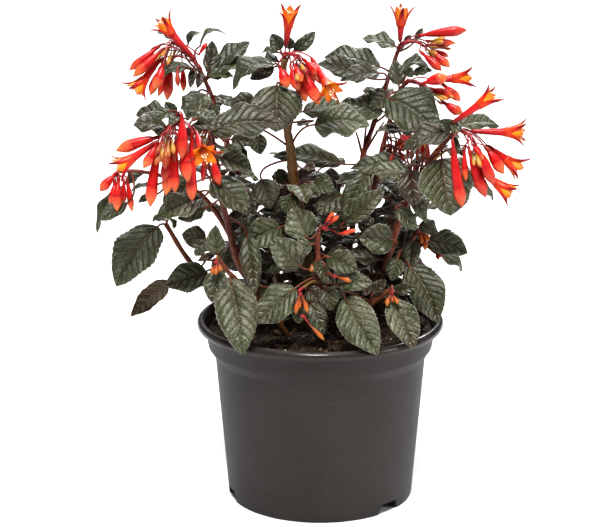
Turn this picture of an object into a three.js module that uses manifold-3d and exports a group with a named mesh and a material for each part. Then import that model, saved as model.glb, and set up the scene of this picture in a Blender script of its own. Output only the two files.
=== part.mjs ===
// Potted koralle fuchsia: a bushy house plant with hanging coral tube flowers, in its plastic nursery
// pot. Millimetres, +Z up, -Y to the front, the origin at the middle of the pot's foot.
import * as THREE from "three";
import { mergeVertices } from "three/addons/utils/BufferGeometryUtils.js";
import Module from "manifold-3d";

const wasm = await Module();
wasm.setup();

// Driving dimensions of the pot and its soil
const POT_HEIGHT = 127;
const LIP_RADIUS = 85;
const COLLAR_RADIUS = 79.4;
const COLLAR_TAPER = 2.2;
const COLLAR_FOOT = 107.5;
const INNER_TOP = 123;
const STEP_RADIUS = 72.6;
const STEP_HEIGHT = 101;
const FOOT_RADIUS = 64;
const POT_WALL = 1.6;
const POT_SIDES = 28;
const NOTCH = { count: 3, firstAngle: -43.5, width: 21, topWidth: 15, height: 7 };
const SOIL_LEVEL = 119;
const SOIL_MOUND = 3;
const CLEARANCE = 0.35;
const FOOT_CLEARANCE = 0.5;
const JOIN_TOLERANCES = [0.22, 0.2, 0.17, 0.14, 0.1, 0.06, 0.03];
const SMALLEST_STEP = 2e-3;

// Driving dimensions of the plant
const STEM_SIDES = 5;
const LEAF_THICKNESS = 1.2;
const LEAF_STALK_RADIUS = 0.95;
const LEAF_WIDTHS = [9, 20];
const LONG_STALK = 13;
const SHARP_TURN = 0.25;
const EDGE_LIFT = 0.16;
const FLOWER_STALK_RADIUS = 0.75;
const SMALL_BUD = 6;
const LONG_FLOWER_STALK = 7;
const FLOWER_ROW = 8;
const SPRAY_COLLAR = 2.4;
const TWIG_TIP = 5;
const OVARY_LENGTH = 6;
const OVARY_RADIUS = 1.5;
const SEPAL = { length: 14, base: 3.2, thickness: 1.5, rib: 2.3 };
const PETAL = { length: 8.5, spread: 4.6, throat: 1.5 };
const STYLE = { length: 15, radius: 0.9 };

// Places in the plant are given as [X, Z, y]: X and Z as they are read on the upright plane through
// the pot's axis by an eye in front of the plant, and y the true depth. seen() gives the true point.
const EYE_DISTANCE = 1300;
const EYE_HEIGHT = 520;
const LEAN_HEIGHT = 200;

function seen(X, Z, y) {
  const scale = (EYE_DISTANCE + y) / EYE_DISTANCE;
  return new THREE.Vector3(X * scale, y, EYE_HEIGHT + (Z - EYE_HEIGHT) * scale);
}

// Each leafy stem: how far it leans back for LEAN_HEIGHT of rise, its stem as [X, Z, y, radius] from
// the root up, and its leaves as [stem point the stalk leaves from, X Z y of the blade's base, X Z y
// of its tip, width,  turn and lift in degrees of the way the upper face looks, arch]
const leafyStems = {
  top_left: {
    lean: 38,
    stem: [
      [-14, 102, 8, 3.0], [-24, 140, 16, 2.8], [-42, 190, 24, 2.5], [-57, 230, 26, 2.2],
      [-66, 260, 22, 2.0], [-72, 279, 16, 1.9], [-77, 291, 12, 1.8], [-80, 298, 9, 1.7],
    ],
    leaves: [
      [6, -84, 298.5, 3, -110.5, 291.5, -6, 18, -20, 72, 0.2],
      [6, -73.5, 295, 10, -71.5, 318, 14, 12, 25, 5, -0.06],
      [6, -70, 299, 15, -47, 317.5, 24, 17, -30, 50, 0.06],
      [6, -76, 293.5, 14, -38.5, 304.5, 18, 21, 0, 62, 0.1],
      [6.6, -88, 315, 22, -79.5, 323.5, 22, 6, 0, 55, 0.45],
      [6.6, -80, 314, 20, -62, 322.5, 22, 8, 0, 84, 0.35],
      [6.6, -97, 319, 20, -108, 324, 20, 7, 0, 55, 0.15],
      [5, -76, 281.5, 8, -90.5, 267, -4, 21, -20, 45, 0.12],
      [5.15, -81, 284, 18, -93.5, 271.5, 12, 12, -50, 30, 0.12],
      [4.9, -70, 280.5, 14, -57, 271, 8, 11, 25, 60, 0.12],
      [4.8, -71.5, 275, 14, -70, 266, 11, 9, 0, 20, 0.05],
      [3.4, -64, 247, 14, -57, 231, 8, 18, -5, 22, 0.08],
      [1.6, -44, 176, 20, -62, 168, 20, 18, -10, 35, 0.1],
      [5.2, -70, 276, 44, -74, 270, 74, 22, 190, 60, 0.1],
      [2.4, -38, 208, 34, -18, 198, 40, 22, 0, 38, 0.1],
    ],
  },
  left: {
    lean: 0,
    stem: [
      [-20, 102, -14, 3.2], [-36, 135, -18, 3.2], [-54, 160, -22, 3.0], [-60, 178, -24, 2.8],
      [-64, 197, -26, 2.6], [-72, 225, -32, 2.2], [-84, 248, -38, 2.0], [-95, 263, -42, 1.8],
    ],
    leaves: [
      [6.6, -103, 266.5, -34, -124, 268.5, -28, 16, -15, 66, 0.12],
      [6.3, -103, 259, -40, -125.5, 261, -46, 19, -10, 56, 0.12],
      [6.6, -101, 270, -50, -111, 265, -54, 10, -20, 35, 0.1],
      [6.6, -97, 268, -37, -104, 276.5, -36, 8, 10, 10, 0.05],
      [6.6, -90.5, 265.5, -43, -80, 267, -48, 8, 0, 50, 0.1],
      [6.5, -85.5, 260.5, -40, -66, 259.5, -48, 13, 5, 55, 0.1],
      [6.5, -83, 265, -34, -66.5, 263, -28, 14, 10, 65, 0.15],
      [5, -80, 211, -38, -111, 199, -54, 22, -20, 48, 0.06],
      [5, -85, 221, -26, -107, 208, -34, 22, -10, 30, 0.06],
      [4.5, -79, 203, -22, -97, 196, -22, 14, -10, 36, 0.08],
      [5, -74, 222, -38, -49, 200, -50, 21, 10, 45, 0.08],
      [6, -67, 238.5, -36, -46, 230.5, -40, 16, 0, 42, 0.1],
      [4, -50, 185, -36, -45, 142, -54, 14, -5, 12, 0.06],
      [6.6, -74, 257.5, -46, -26.5, 263, -44, 27, 0, 50, 0.06],
      [6, -84, 246, 0, -88, 242, 30, 22, 200, 60, 0.1],
      [4, -66, 204, 6, -72, 200, 36, 22, 200, 60, 0.1],
    ],
  },
  left_side: {
    lean: 20,
    stem: [
      [-28, 102, 0, 2.6], [-44, 145, 4, 2.4], [-62, 185, 2, 2.2], [-80, 212, -4, 2.0],
      [-102, 224, -12, 1.7], [-122, 229, -18, 1.5], [-133, 229, -20, 1.4],
    ],
    leaves: [
      [5.6, -133, 219, -14, -154, 187, -20, 15, -60, 22, 0.12],
      [4.7, -121, 227, -14, -132, 219, -12, 9, -20, 50, 0.15],
      [4, -113, 219, -10, -129, 215, -8, 8, 0, 82, 0.12],
      [4, -111, 213, -10, -124, 207.5, -10, 6, -10, 40, 0.2],
    ],
  },
  low_left: {
    lean: 30,
    stem: [
      [-26, 102, 16, 2.9], [-50, 134, 18, 2.7], [-78, 156, 14, 2.4], [-91, 168, 11, 2.2],
      [-105, 192, 8, 2.0],
    ],
    leaves: [
      [4, -110.5, 190.5, 2, -140.5, 148.5, -12, 31, -15, 25, 0.12],
      [4, -106, 195, 12, -114.5, 194, 14, 7, -10, 60, 0.3],
      [4, -102, 196, 14, -100, 188, 18, 6, 60, 20, 0.2],
      [2, -77, 157, -4, -106.5, 150, -10, 22, -5, 36, 0.08],
      [1.7, -104, 152, 14, -131, 127, 12, 15, 150, 30, 0.1],
      [2.3, -78, 182, 2, -94.5, 185, 2, 16, -5, 30, 0.06],
    ],
  },
  front_left: {
    lean: 0,
    stem: [[-16, 102, -28, 2.7], [-36, 132, -38, 2.4], [-60, 155, -46, 2.1], [-69, 167, -48, 1.9]],
    leaves: [
      [3, -70, 170, -50, -71.5, 191, -52, 13, -5, 8, 0.04],
      [3, -81, 170, -44, -84, 177, -44, 8, -20, 30, 0.1],
      [2.6, -69, 160, -54, -75, 136.5, -62, 16, -10, 20, 0.08],
      [2, -62, 154, -54, -54, 100, -84, 28, 0, 24, 0.06],
    ],
  },
  centre: {
    lean: -14,
    stem: [
      [-4, 102, 4, 3.4], [-7, 150, 4, 3.3], [-12, 190, 3, 3.1], [-17, 216, 2, 2.9], [-19, 232, 1, 3.0],
      [-20, 245, 0, 2.5], [-23, 262, 0, 2.1], [-25, 285, -2, 1.9], [-24, 306, -4, 1.7],
    ],
    leaves: [
      [7, -29, 288, -12, -30, 256.5, -26, 34, 0, 34, 0.08],
      [5, -44, 255, -6, -40, 240.5, -8, 12, 0, 8, 0.05],
      [5, -4, 261, -10, 33, 262, -16, 28, 0, 52, 0.08],
      [5, -11.5, 270, 4, 20, 272, 10, 20, 0, 60, 0.1],
      [4.4, -40, 223.5, -14, -33, 204, -24, 19, -5, 26, 0.08],
      [7.6, -31, 302, -4, -58.5, 285, -6, 18, -15, 60, 0.28],
      [7.6, -28, 304, 8, -41, 301, 14, 12, 0, 60, 0.15],
      [7.6, -26.5, 311.5, 2, -32.5, 322.5, 6, 10, -5, 5, 0.02],
      [7.6, -28, 310, 0, -39, 310.5, 2, 7, -10, 60, 0.2],
      [7.6, -20.5, 312, 6, -20, 320, 8, 7, 5, 10, 0.02],
      [7.6, -17.5, 311, 0, -3, 324, 4, 9, 15, 15, 0.04],
      [7, -44, 279, 16, -60.5, 275, 24, 12, 0, 25, 0.08],
      [2, -27, 190, -18, -50, 178, -30, 22, -5, 25, 0.08],
      [3, -24, 222, 10, -28.5, 231, 14, 9, 0, 10, 0.05],
      [3, -6, 221, -14, 10, 216, -20, 15, 10, 40, 0.1],
      [3, -18, 212, -18, -24, 200, -26, 14, -10, 30, 0.08],
      [2.6, -26, 208, 6, -44, 220, 8, 20, -5, 30, 0.1],
      [1.6, -20, 172, -14, -42, 160, -18, 20, -10, 38, 0.1],
      [1.5, 4, 170, -12, 24, 163, -16, 20, 10, 38, 0.1],
      [6, -24, 268, 22, -26, 262, 58, 24, 180, 60, 0.1],
      [3.2, -22, 226, 24, -24, 214, 56, 22, 180, 60, 0.1],
    ],
  },
  centre_right: {
    lean: 40,
    stem: [
      [10, 102, 12, 3.1], [17, 155, 18, 2.9], [24, 205, 22, 2.6], [29, 240, 22, 2.4],
      [36, 262, 20, 2.1], [44, 288, 16, 1.9], [50, 306, 12, 1.7], [52, 312, 10, 1.6],
    ],
    leaves: [
      [4, 42, 270, 10, 13.5, 277, 4, 21, 0, 50, 0.08],
      [4.5, 46, 282, 8, 33, 272, 4, 19, -10, 42, 0.06],
      [5.4, 40, 300, 12, 3, 309, 16, 24, 0, 60, 0.08],
      [5.2, 31, 293, 3, -1, 303.5, -2, 19, 0, 46, 0.06],
      [5, 39.5, 296, 0, 13.5, 292.5, -8, 16, 0, 56, 0.1],
      [6.6, 50, 314, 12, 28, 320, 14, 15, 0, 60, 0.06],
      [6.6, 56, 315, 16, 60, 322, 18, 5, 0, 30, 0.1],
      [6.6, 63, 318, 16, 68, 326.5, 18, 5, 0, 20, 0.05],
      [6, 54, 300, 8, 74, 297, 10, 16, 0, 70, 0.3],
      [6, 62, 296, 4, 74.5, 298, 0, 8, 0, 42, 0.08],
      [2, 29, 200, 14, 41, 190, 10, 13, 5, 35, 0.1],
      [2.8, 14, 234, 16, -32, 240, 12, 18, 0, 50, 0.1],
      [2, 10, 212, 10, -12, 227, 6, 20, 0, 25, 0.08],
      [1.6, 30, 184, 16, 52, 178, 14, 20, 10, 35, 0.1],
      [5, 40, 284, 44, 38, 278, 76, 22, 175, 60, 0.1],
      [3, 38, 236, 44, 40, 228, 74, 20, 175, 60, 0.1],
      [2.2, 14, 220, 32, -8, 208, 40, 22, 0, 38, 0.1],
      [1.3, 4, 160, 24, -18, 166, 28, 22, 0, 38, 0.1],
    ],
  },
  right_middle: {
    lean: 8,
    stem: [
      [18, 102, 0, 2.9], [24, 160, 0, 2.7], [34, 205, -2, 2.4], [42, 245, -6, 2.1],
      [49, 272, -11, 1.9], [53, 284, -13, 1.7], [57, 289, -14, 1.6],
    ],
    leaves: [
      [5, 52.5, 288, -14, 50, 305, -8, 12, 0, 8, 0.04],
      [5.6, 57, 294, -20, 61, 300, -22, 8, 10, 20, 0.05],
      [5, 46, 279, -20, 79, 256, -36, 35, 0, 38, 0.08],
      [3.6, 62, 256, -20, 37, 257, -26, 13, 0, 66, 0.1],
      [3, 56, 234, -16, 20.5, 232, -20, 18, 0, 48, 0.08],
      [2.7, 33, 229, -22, 16, 196, -36, 17, -15, 20, 0.06],
      [1.8, 16, 193, -32, 43.5, 216.5, -38, 16, -10, 28, 0.06],
      [2, 15, 213, -24, -2, 200.5, -34, 17, 0, 22, 0.05],
      [2.2, 44, 210, 8, 60, 200, 14, 18, 10, 30, 0.1],
      [1.7, 18, 184, 18, 0, 190, 24, 20, 0, 38, 0.1],
    ],
  },
  right: {
    lean: 0,
    stem: [
      [20, 102, -14, 3.2], [32, 130, -18, 3.1], [41, 152, -20, 3.0], [48, 174, -23, 2.8],
      [58, 205, -28, 2.4], [72, 232, -34, 2.2], [84, 249, -38, 2.0], [91, 256, -40, 1.8],
    ],
    leaves: [
      [6, 82, 238, -46, 89, 198, -58, 38, 10, 20, 0.06],
      [6.6, 87, 257, -46, 55, 245, -52, 19, -5, 50, 0.12],
      [6.6, 88, 257, -48, 80, 264, -50, 10, -5, 40, 0.1],
      [6.6, 93, 261, -32, 121, 261, -20, 17, 5, 62, 0.08],
      [5, 61, 230, -40, 64, 205, -46, 19, 0, 24, 0.06],
      [4.5, 62, 214, -34, 73, 193, -38, 10, 10, 20, 0.06],
      [4, 52, 203, -34, 66, 188, -38, 11, 10, 28, 0.08],
      [6.6, 101, 222, -28, 119, 209.5, -22, 12, 10, 55, 0.1],
      [3, 50, 181, -32, 27, 183, -40, 21, 0, 28, 0.06],
      [6, 84, 244, -6, 88, 240, 24, 22, 150, 60, 0.1],
      [4, 62, 210, 4, 70, 204, 36, 22, 160, 60, 0.1],
      [2.6, 54, 174, 8, 72, 184, 16, 18, 10, 35, 0.1],
    ],
  },
  low_right: {
    lean: 10,
    stem: [[28, 102, 8, 2.8], [44, 145, 6, 2.5], [56, 168, 0, 2.2], [65, 186, -6, 1.9]],
    leaves: [
      [3, 73, 181, -12, 101, 173, -18, 19, 0, 42, 0.06],
      [3, 67, 191, -4, 81, 186, -4, 13, 0, 40, 0.12],
      [2.5, 63, 181, -18, 62, 162, -26, 13, -5, 14, 0.05],
      [2, 61, 163, -28, 81.5, 122.5, -48, 26, 12, 28, 0.08],
      [2, 53, 168, -30, 49, 152, -38, 12, -10, 20, 0.06],
      [3, 73, 178, 8, 99, 160, 20, 20, 20, 60, 0.1],
    ],
  },
  front_right: {
    lean: 0,
    stem: [[14, 102, -30, 2.7], [30, 130, -38, 2.4], [43, 142, -44, 2.1], [49, 146, -46, 1.9]],
    leaves: [
      [3, 49, 138.5, -54, 65, 103.5, -70, 21, 5, 24, 0.06],
      [1.4, 17, 140, -58, 40, 99.5, -82, 26, 0, 24, 0.06],
      [3, 51, 144, -42, 64.5, 147.5, -46, 9, 5, 35, 0.1],
      [1.4, 36, 142.5, -44, 45, 153, -42, 9, -5, 25, 0.05],
    ],
  },
  front: {
    lean: 0,
    stem: [
      [0, 102, -36, 2.8], [1, 130, -42, 2.5], [0, 156, -46, 2.2], [-2, 175, -44, 2.0],
      [-1, 187, -42, 1.7],
    ],
    leaves: [
      [2, -17, 147, -58, -46, 122, -68, 23, -5, 34, 0.06],
      [2, -9, 146, -56, 1, 138, -60, 11, 0, 28, 0.08],
      [2, 5, 147, -56, 8, 130.5, -62, 13, 0, 18, 0.04],
      [2, 12, 149.5, -54, 36, 151, -58, 14, 0, 34, 0.06],
      [2.4, 6, 169, -52, 25.5, 160, -60, 17, 0, 38, 0.1],
      [2.3, -13, 162, -52, -34, 182, -48, 20, -10, 30, 0.06],
      [3, -6, 178, -50, -19, 172, -48, 13, 0, 36, 0.1],
      [4, -9, 183, -46, -19, 204, -42, 22, -5, 14, 0.03],
      [2.2, 2, 157, -58, 10.5, 151, -62, 9, 5, 25, 0.1],
      [1.6, -7, 137, -60, 2.5, 113, -66, 13, 0, 18, 0.05],
      [1.6, -14, 135, -62, -15.5, 121, -66, 10, 0, 15, 0.04],
      [2.2, 3, 163, -55, 4.5, 150, -60, 11, 0, 15, 0.05],
    ],
  },
  back_left: {
    lean: 0,
    stem: [
      [-14, 102, 26, 3.0], [-34, 150, 42, 2.7], [-54, 192, 56, 2.4], [-66, 222, 62, 2.1],
      [-71, 242, 60, 1.9], [-74, 262, 54, 1.7],
    ],
    leaves: [
      [1, -46, 170, 54, -74, 156, 82, 25, 205, 52, 0.12],
      [1, -30, 176, 62, -34, 172, 102, 25, 180, 60, 0.12],
      [2, -64, 196, 62, -100, 210, 74, 24, 215, 60, 0.1],
      [2, -52, 192, 72, -46, 186, 110, 24, 170, 60, 0.12],
      [3, -77, 226, 66, -102, 234, 86, 23, 200, 62, 0.1],
      [3, -58, 214, 76, -52, 208, 114, 22, 180, 62, 0.12],
      [3.7, -66, 237, 70, -50, 241, 82, 14, 0, 70, 0.1],
      [4.4, -80, 246, 66, -98, 252, 84, 22, 200, 62, 0.1],
      [4.4, -66, 244, 70, -60, 240, 104, 22, 175, 60, 0.1],
    ],
  },
  back: {
    lean: 0,
    stem: [[0, 102, 30, 3.0], [-4, 150, 46, 2.7], [-8, 190, 60, 2.3], [-7, 220, 64, 1.8]],
    leaves: [
      [1.3, 4, 184, 68, 8, 178, 108, 26, 180, 60, 0.12],
      [1.3, -14, 188, 62, -34, 198, 84, 22, 210, 60, 0.1],
      [1.3, 6, 188, 60, 30, 198, 78, 22, 150, 60, 0.1],
      [2.2, -14, 212, 72, -26, 216, 108, 22, 190, 60, 0.12],
      [2.2, 0, 214, 74, 14, 218, 108, 22, 170, 60, 0.12],
      [3, -14, 232, 72, -34, 243, 84, 15, 190, 70, 0.1],
      [3, 2, 232, 70, 16, 236, 92, 18, 170, 74, 0.08],
    ],
  },
  back_right: {
    lean: 0,
    stem: [
      [18, 102, 24, 3.0], [36, 150, 38, 2.7], [52, 190, 52, 2.4], [62, 222, 58, 2.1],
      [66, 242, 56, 1.9], [67, 262, 50, 1.7],
    ],
    leaves: [
      [1, 48, 168, 50, 74, 154, 78, 25, 155, 52, 0.12],
      [1, 34, 178, 58, 36, 172, 98, 24, 180, 60, 0.12],
      [2, 62, 196, 56, 92, 208, 68, 24, 145, 60, 0.1],
      [2, 50, 192, 68, 48, 186, 106, 24, 190, 60, 0.12],
      [3, 74, 228, 62, 98, 234, 82, 22, 160, 62, 0.1],
      [3, 54, 214, 74, 50, 208, 112, 22, 180, 62, 0.12],
      [4.4, 74, 248, 60, 94, 252, 76, 22, 150, 62, 0.1],
      [4.4, 59, 240, 68, 52, 232, 102, 22, 190, 60, 0.1],
    ],
  },
  back_low: {
    lean: 0,
    stem: [[4, 110, 46, 2.6], [6, 140, 60, 2.3], [6, 166, 72, 1.9]],
    leaves: [
      [2, -6, 164, 84, -20, 152, 122, 26, 190, 50, 0.12],
      [2, 18, 164, 84, 32, 152, 120, 26, 170, 50, 0.12],
      [1.6, -20, 156, 74, -52, 140, 94, 25, 205, 50, 0.1],
      [1.6, 32, 156, 72, 60, 140, 90, 25, 155, 50, 0.1],
    ],
  },
};

// Each flower spray: the leafy stem that it ends, its buds as [X Z y of the bud's base, X Z y of its
// tip, width] and its open flowers as [X Z y of the tube's base, X Z y of its mouth, turn of the
// sepals in degrees, flare]
const flowerSprays = {
  top_left: {
    axis: [[-84, 304, 11], [-92, 313, 11], [-99, 317, 9]],
    buds: [
      [-106, 315, 4, -127.5, 298, 4, 6], [-104, 313, -2, -125, 293.5, -4, 6.5],
      [-103, 311, 8, -117, 296.5, 10, 4.5], [-106, 301, 8, -113.5, 281, 8, 6.5],
      [-102, 301, 14, -108.5, 280, 14, 5.5], [-99, 303, 5, -102.5, 277.5, 5, 7],
      [-92, 302, 14, -91.5, 283.5, 14, 5.5], [-97, 308, 12, -104, 299, 14, 4.5],
      [-81, 308, 12, -75, 316.5, 12, 4],
    ],
    flowers: [[-83.5, 305, 4, -100, 324, -2, 20, 30], [-106, 306, 3, -118.5, 290.5, 2, 40, 42]],
  },
  left: {
    axis: [[-98, 263, -50], [-102, 258, -56], [-103, 252, -60]],
    buds: [
      [-93, 269, -62, -93.5, 237, -66, 7.5], [-86, 257, -54, -87, 208, -56, 7.5],
      [-97, 252, -56, -98.5, 214, -60, 6.5], [-91, 250, -48, -92, 224, -50, 6.5],
      [-108, 248, -52, -115.5, 204, -58, 8], [-103.5, 249, -60, -106, 221, -64, 6],
      [-101, 251, -64, -104, 232, -68, 5], [-105, 252, -54, -113.5, 237, -58, 5],
      [-107, 253, -47, -138, 243, -46, 8], [-109, 250, -60, -119.5, 231, -64, 6.5],
      [-79, 240, -46, -79.5, 221.5, -46, 4.5], [-73, 240, -46, -68, 219, -46, 6],
    ],
    flowers: [[-109, 250, -52, -129, 236.5, -54, 45, 40], [-84, 257, -50, -79.5, 243.5, -70, 10, 62]],
  },
  left_side: {
    axis: [[-137, 228, -24], [-137, 223, -26]],
    buds: [
      [-137, 229, -26, -149.5, 215, -28, 6.5], [-139, 224, -26, -142, 204, -28, 6],
      [-136, 226, -33, -138, 200.5, -36, 6.5], [-133, 224, -27, -133.5, 206, -28, 5],
      [-131, 225, -22, -128, 200.5, -22, 5.5],
    ],
    flowers: [],
  },
  centre: {
    axis: [[-21, 309, -9], [-16, 308, -13], [-13, 304, -16]],
    buds: [
      [-28, 302, -14, -21.5, 286, -18, 8], [-19, 297, -10, -9.5, 276.5, -14, 8],
      [-14, 299, -18, -0.5, 274.5, -24, 8], [-13, 303, -12, -4.5, 287, -18, 6.5],
      [-12, 306, -20, 0.5, 294, -24, 6.5], [-18, 303, -22, -12, 290, -28, 6],
    ],
    flowers: [[-23, 313.5, -6, -21, 329.5, -12, 30, 28], [-6, 306.5, -14, 4.5, 288.5, -34, 45, 55]],
  },
  centre_right: {
    axis: [[57, 317, 8], [64, 317, 7], [69, 314, 7]],
    buds: [
      [65, 321, 4, 97.5, 325, 0, 7.5], [70, 317.5, 6, 90, 316, 4, 5.5],
      [72, 314, 10, 84.5, 313.5, 10, 4], [74, 312, 14, 85.5, 307, 14, 4.5],
      [72, 311, 4, 86.5, 300, 2, 6], [66, 311, -2, 81, 297.5, -6, 6],
    ],
    flowers: [[53, 317, 4, 53.5, 330.5, 0, 0, 28]],
  },
  right_middle: {
    axis: [[63, 290, -16], [69, 288, -17], [74, 284, -17]],
    buds: [
      [67, 288.5, -24, 85.5, 293.5, -28, 8], [72, 286, -18, 89.5, 279.5, -20, 6.5],
      [80, 290, -12, 94, 277, -10, 6], [81, 277, -20, 95.5, 268.5, -22, 7],
      [66, 288, -9, 74, 281, -8, 4.5],
    ],
    flowers: [[74, 291.5, -14, 91, 292.5, -14, 40, 34]],
  },
  right: {
    axis: [[95, 257, -44], [100, 254, -48], [104, 249, -52]],
    buds: [
      [89, 251, -60, 96.5, 203.5, -64, 8], [110, 247, -48, 124, 227, -50, 7.5],
      [100, 244, -58, 112.5, 210.5, -62, 8], [106, 246, -56, 115, 225, -58, 6],
      [102, 248, -62, 110.5, 236, -66, 4.5], [97, 246, -52, 98.5, 222, -57, 5.5],
    ],
    flowers: [
      [88.5, 262, -50, 108.5, 276, -52, 30, 30], [101, 256.5, -46, 127, 256, -50, 45, 32],
      [112, 247, -40, 127, 236, -40, 20, 36], [104, 233, -50, 121.5, 219, -54, 45, 34],
    ],
  },
  back_left: {
    axis: [[-74.5, 268, 55], [-74, 268, 62], [-73, 262, 68]],
    buds: [
      [-68, 262, 70, -62, 248, 82, 6.5], [-73, 260, 70, -74, 236, 78, 7.5],
      [-68, 264, 62, -60, 252, 66, 6.5], [-78, 266, 48, -90, 254, 40, 6.5],
      [-80, 268, 70, -86, 264, 84, 5],
    ],
    flowers: [[-74, 268, 68, -74, 262, 90, 45, 36]],
  },
  back_right: {
    axis: [[68, 268, 52], [68, 268, 59], [67, 262, 65]],
    buds: [
      [61, 260, 68, 57, 246, 80, 6.5], [69, 258, 71, 71, 234, 82, 7.5],
      [61, 260, 54, 52, 244, 52, 6.5], [74, 266, 46, 85, 254, 36, 6.5], [75, 267, 68, 81, 262, 82, 5],
    ],
    flowers: [[69, 266, 66, 69, 260, 88, 45, 36]],
  },
};

// Each spray of young buds: the leafy stem and its point that a twig leaves from, the twig's end, and
// its buds as in the flower sprays
const budSprays = {
  front_top: {
    stem: "front", from: 4, twig: [1, 190, -44],
    buds: [
      [3.5, 193, -48, 9.5, 200.5, -52, 4.5], [6, 192, -50, 12.5, 198, -54, 4.5],
      [12, 185, -42, 25, 188, -44, 4.5],
    ],
  },
  front_low: {
    stem: "front", from: 1.8, twig: [-12, 147, -62],
    buds: [[-14.5, 141, -66, -17, 128, -70, 5], [-12.5, 141, -66, -8.5, 128.5, -70, 5]],
  },
  front_foot: {
    stem: "front", from: 0.8, twig: [-11, 127, -66],
    buds: [[-8, 121, -72, 3, 109, -77, 4.5]],
  },
  front_side: {
    stem: "front", from: 2, twig: [8, 156, -64],
    buds: [[12, 154.5, -66, 21.5, 151.5, -70, 4.5]],
  },
  low_left: {
    stem: "front_left", from: 3, twig: [-71, 167, -56],
    buds: [
      [-72, 163, -60, -75, 156.5, -64, 4.5], [-71, 164, -62, -71.5, 156, -66, 4.5],
      [-70, 165, -60, -68, 158.5, -63, 4],
    ],
  },
  low_right: {
    stem: "low_right", from: 3, twig: [67, 187, -14],
    buds: [
      [68, 186, -20, 69.5, 178, -24, 4.5], [70, 186, -20, 74.5, 180, -24, 4.5],
      [71, 182, -22, 72, 173.5, -25, 4.5],
    ],
  },
  right_middle: {
    stem: "right_middle", from: 3, twig: [51, 245, -15],
    buds: [
      [50, 243, -18, 47, 236, -22, 4.5], [53, 243, -18, 57, 236, -22, 4.5],
      [52, 247, -18, 57, 250, -22, 4.5],
    ],
  },
  front_right: {
    stem: "front_right", from: 3, twig: [49.5, 146, -54],
    buds: [[48, 142, -58, 45.5, 133.5, -62, 4.5], [50, 142, -58, 54, 135, -62, 4.5]],
  },
};

const finishes = {
  pot: new THREE.MeshStandardMaterial({ color: 0x4a4643, roughness: 0.42, metalness: 0 }),
  soil: new THREE.MeshStandardMaterial({ color: 0x2a2019, roughness: 0.95, metalness: 0 }),
  foliage: new THREE.MeshStandardMaterial({ color: 0x525b45, roughness: 0.7, metalness: 0 }),
  flower: new THREE.MeshStandardMaterial({ color: 0xe0442f, roughness: 0.5, metalness: 0 }),
  youngBud: new THREE.MeshStandardMaterial({ color: 0xd9782a, roughness: 0.55, metalness: 0 }),
};

// The rows of a shoot, leaned back with the height: `places` tells where in a row each X, Z, y starts
function leaned(rows, places, lean) {
  return rows.map((row) => row.map((value, i) => (
    places.includes(i - 2) ? value + (lean * (row[i - 1] - SOIL_LEVEL)) / LEAN_HEIGHT : value
  )));
}

// A closed solid from corner points and triangles, turned so that its faces point out
function solidFrom(points, triangles) {
  let volume = 0;
  for (const [a, b, c] of triangles) {
    volume += points[a].dot(new THREE.Vector3().crossVectors(points[b], points[c]));
  }
  const turned = volume < 0 ? triangles.map(([a, b, c]) => [a, c, b]) : triangles;
  return new wasm.Manifold(new wasm.Mesh({
    numProp: 3,
    vertProperties: new Float32Array(points.flatMap((point) => point.toArray())),
    triVerts: new Uint32Array(turned.flat()),
  }));
}

function solidFromGeometry(geometry) {
  geometry.deleteAttribute("normal");
  geometry.deleteAttribute("uv");
  const welded = mergeVertices(geometry, 1e-3);
  const place = welded.getAttribute("position");
  const points = [];
  for (let i = 0; i < place.count; i++) {
    points.push(new THREE.Vector3().fromBufferAttribute(place, i));
  }
  const triangles = [];
  for (let i = 0; i < welded.index.count; i += 3) {
    const [a, b, c] = [0, 1, 2].map((k) => welded.index.getX(i + k));
    if (a !== b && b !== c && c !== a) triangles.push([a, b, c]);
  }
  return solidFrom(points, triangles);
}

// Rings of equal count joined into one closed body; the first ring is capped, and so is the last
// unless it is a single point or a crown closes it, whose triangles count from the last ring's corners
// on into its own points
function loft(rings, crown = { points: [], triangles: [] }) {
  const sides = rings[0].length;
  const points = [...rings.flat(), ...crown.points];
  const last = rings.length - 1;
  const pointed = rings[last].length === 1;
  const triangles = crown.triangles.map((corners) => corners.map((corner) => corner + last * sides));
  for (let i = 0; i < last; i++) {
    for (let k = 0; k < sides; k++) {
      const a = i * sides + k;
      const b = i * sides + (k + 1) % sides;
      if (pointed && i === last - 1) {
        triangles.push([a, b, last * sides]);
      } else if (k % 2) {
        triangles.push([a, b, a + sides], [b, b + sides, a + sides]);
      } else {
        triangles.push([a, b, b + sides], [a, b + sides, a + sides]);
      }
    }
  }
  for (let k = 1; k < sides - 1; k++) {
    triangles.push([0, k + 1, k]);
    if (!pointed && !crown.points.length) {
      triangles.push([last * sides, last * sides + k, last * sides + k + 1]);
    }
  }
  return solidFrom(points, triangles);
}

// The rings of a round rod along a path, with a radius at each point; a last radius of 0 gives a
// pointed end
function rodRings(path, radii, sides, firstSide = new THREE.Vector3(0, 1, 0)) {
  const rings = [];
  let side = firstSide;
  path.forEach((centre, i) => {
    const ahead = path[Math.min(i + 1, path.length - 1)];
    const behind = path[Math.max(i - 1, 0)];
    const along = ahead.clone().sub(behind).normalize();
    side = side.clone().addScaledVector(along, -side.dot(along));
    if (side.length() < 0.05) side.set(1, 0, 0).addScaledVector(along, -along.x);
    side.normalize();
    const across = new THREE.Vector3().crossVectors(along, side);
    if (radii[i] === 0) {
      rings.push([centre.clone()]);
      return;
    }
    const ring = [];
    for (let k = 0; k < sides; k++) {
      const angle = (2 * Math.PI * k) / sides;
      ring.push(centre.clone()
        .addScaledVector(side, radii[i] * Math.cos(angle))
        .addScaledVector(across, radii[i] * Math.sin(angle)));
    }
    rings.push(ring);
  });
  return rings;
}

function rod(path, radii, sides) {
  return loft(rodRings(path, radii, sides));
}

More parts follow.
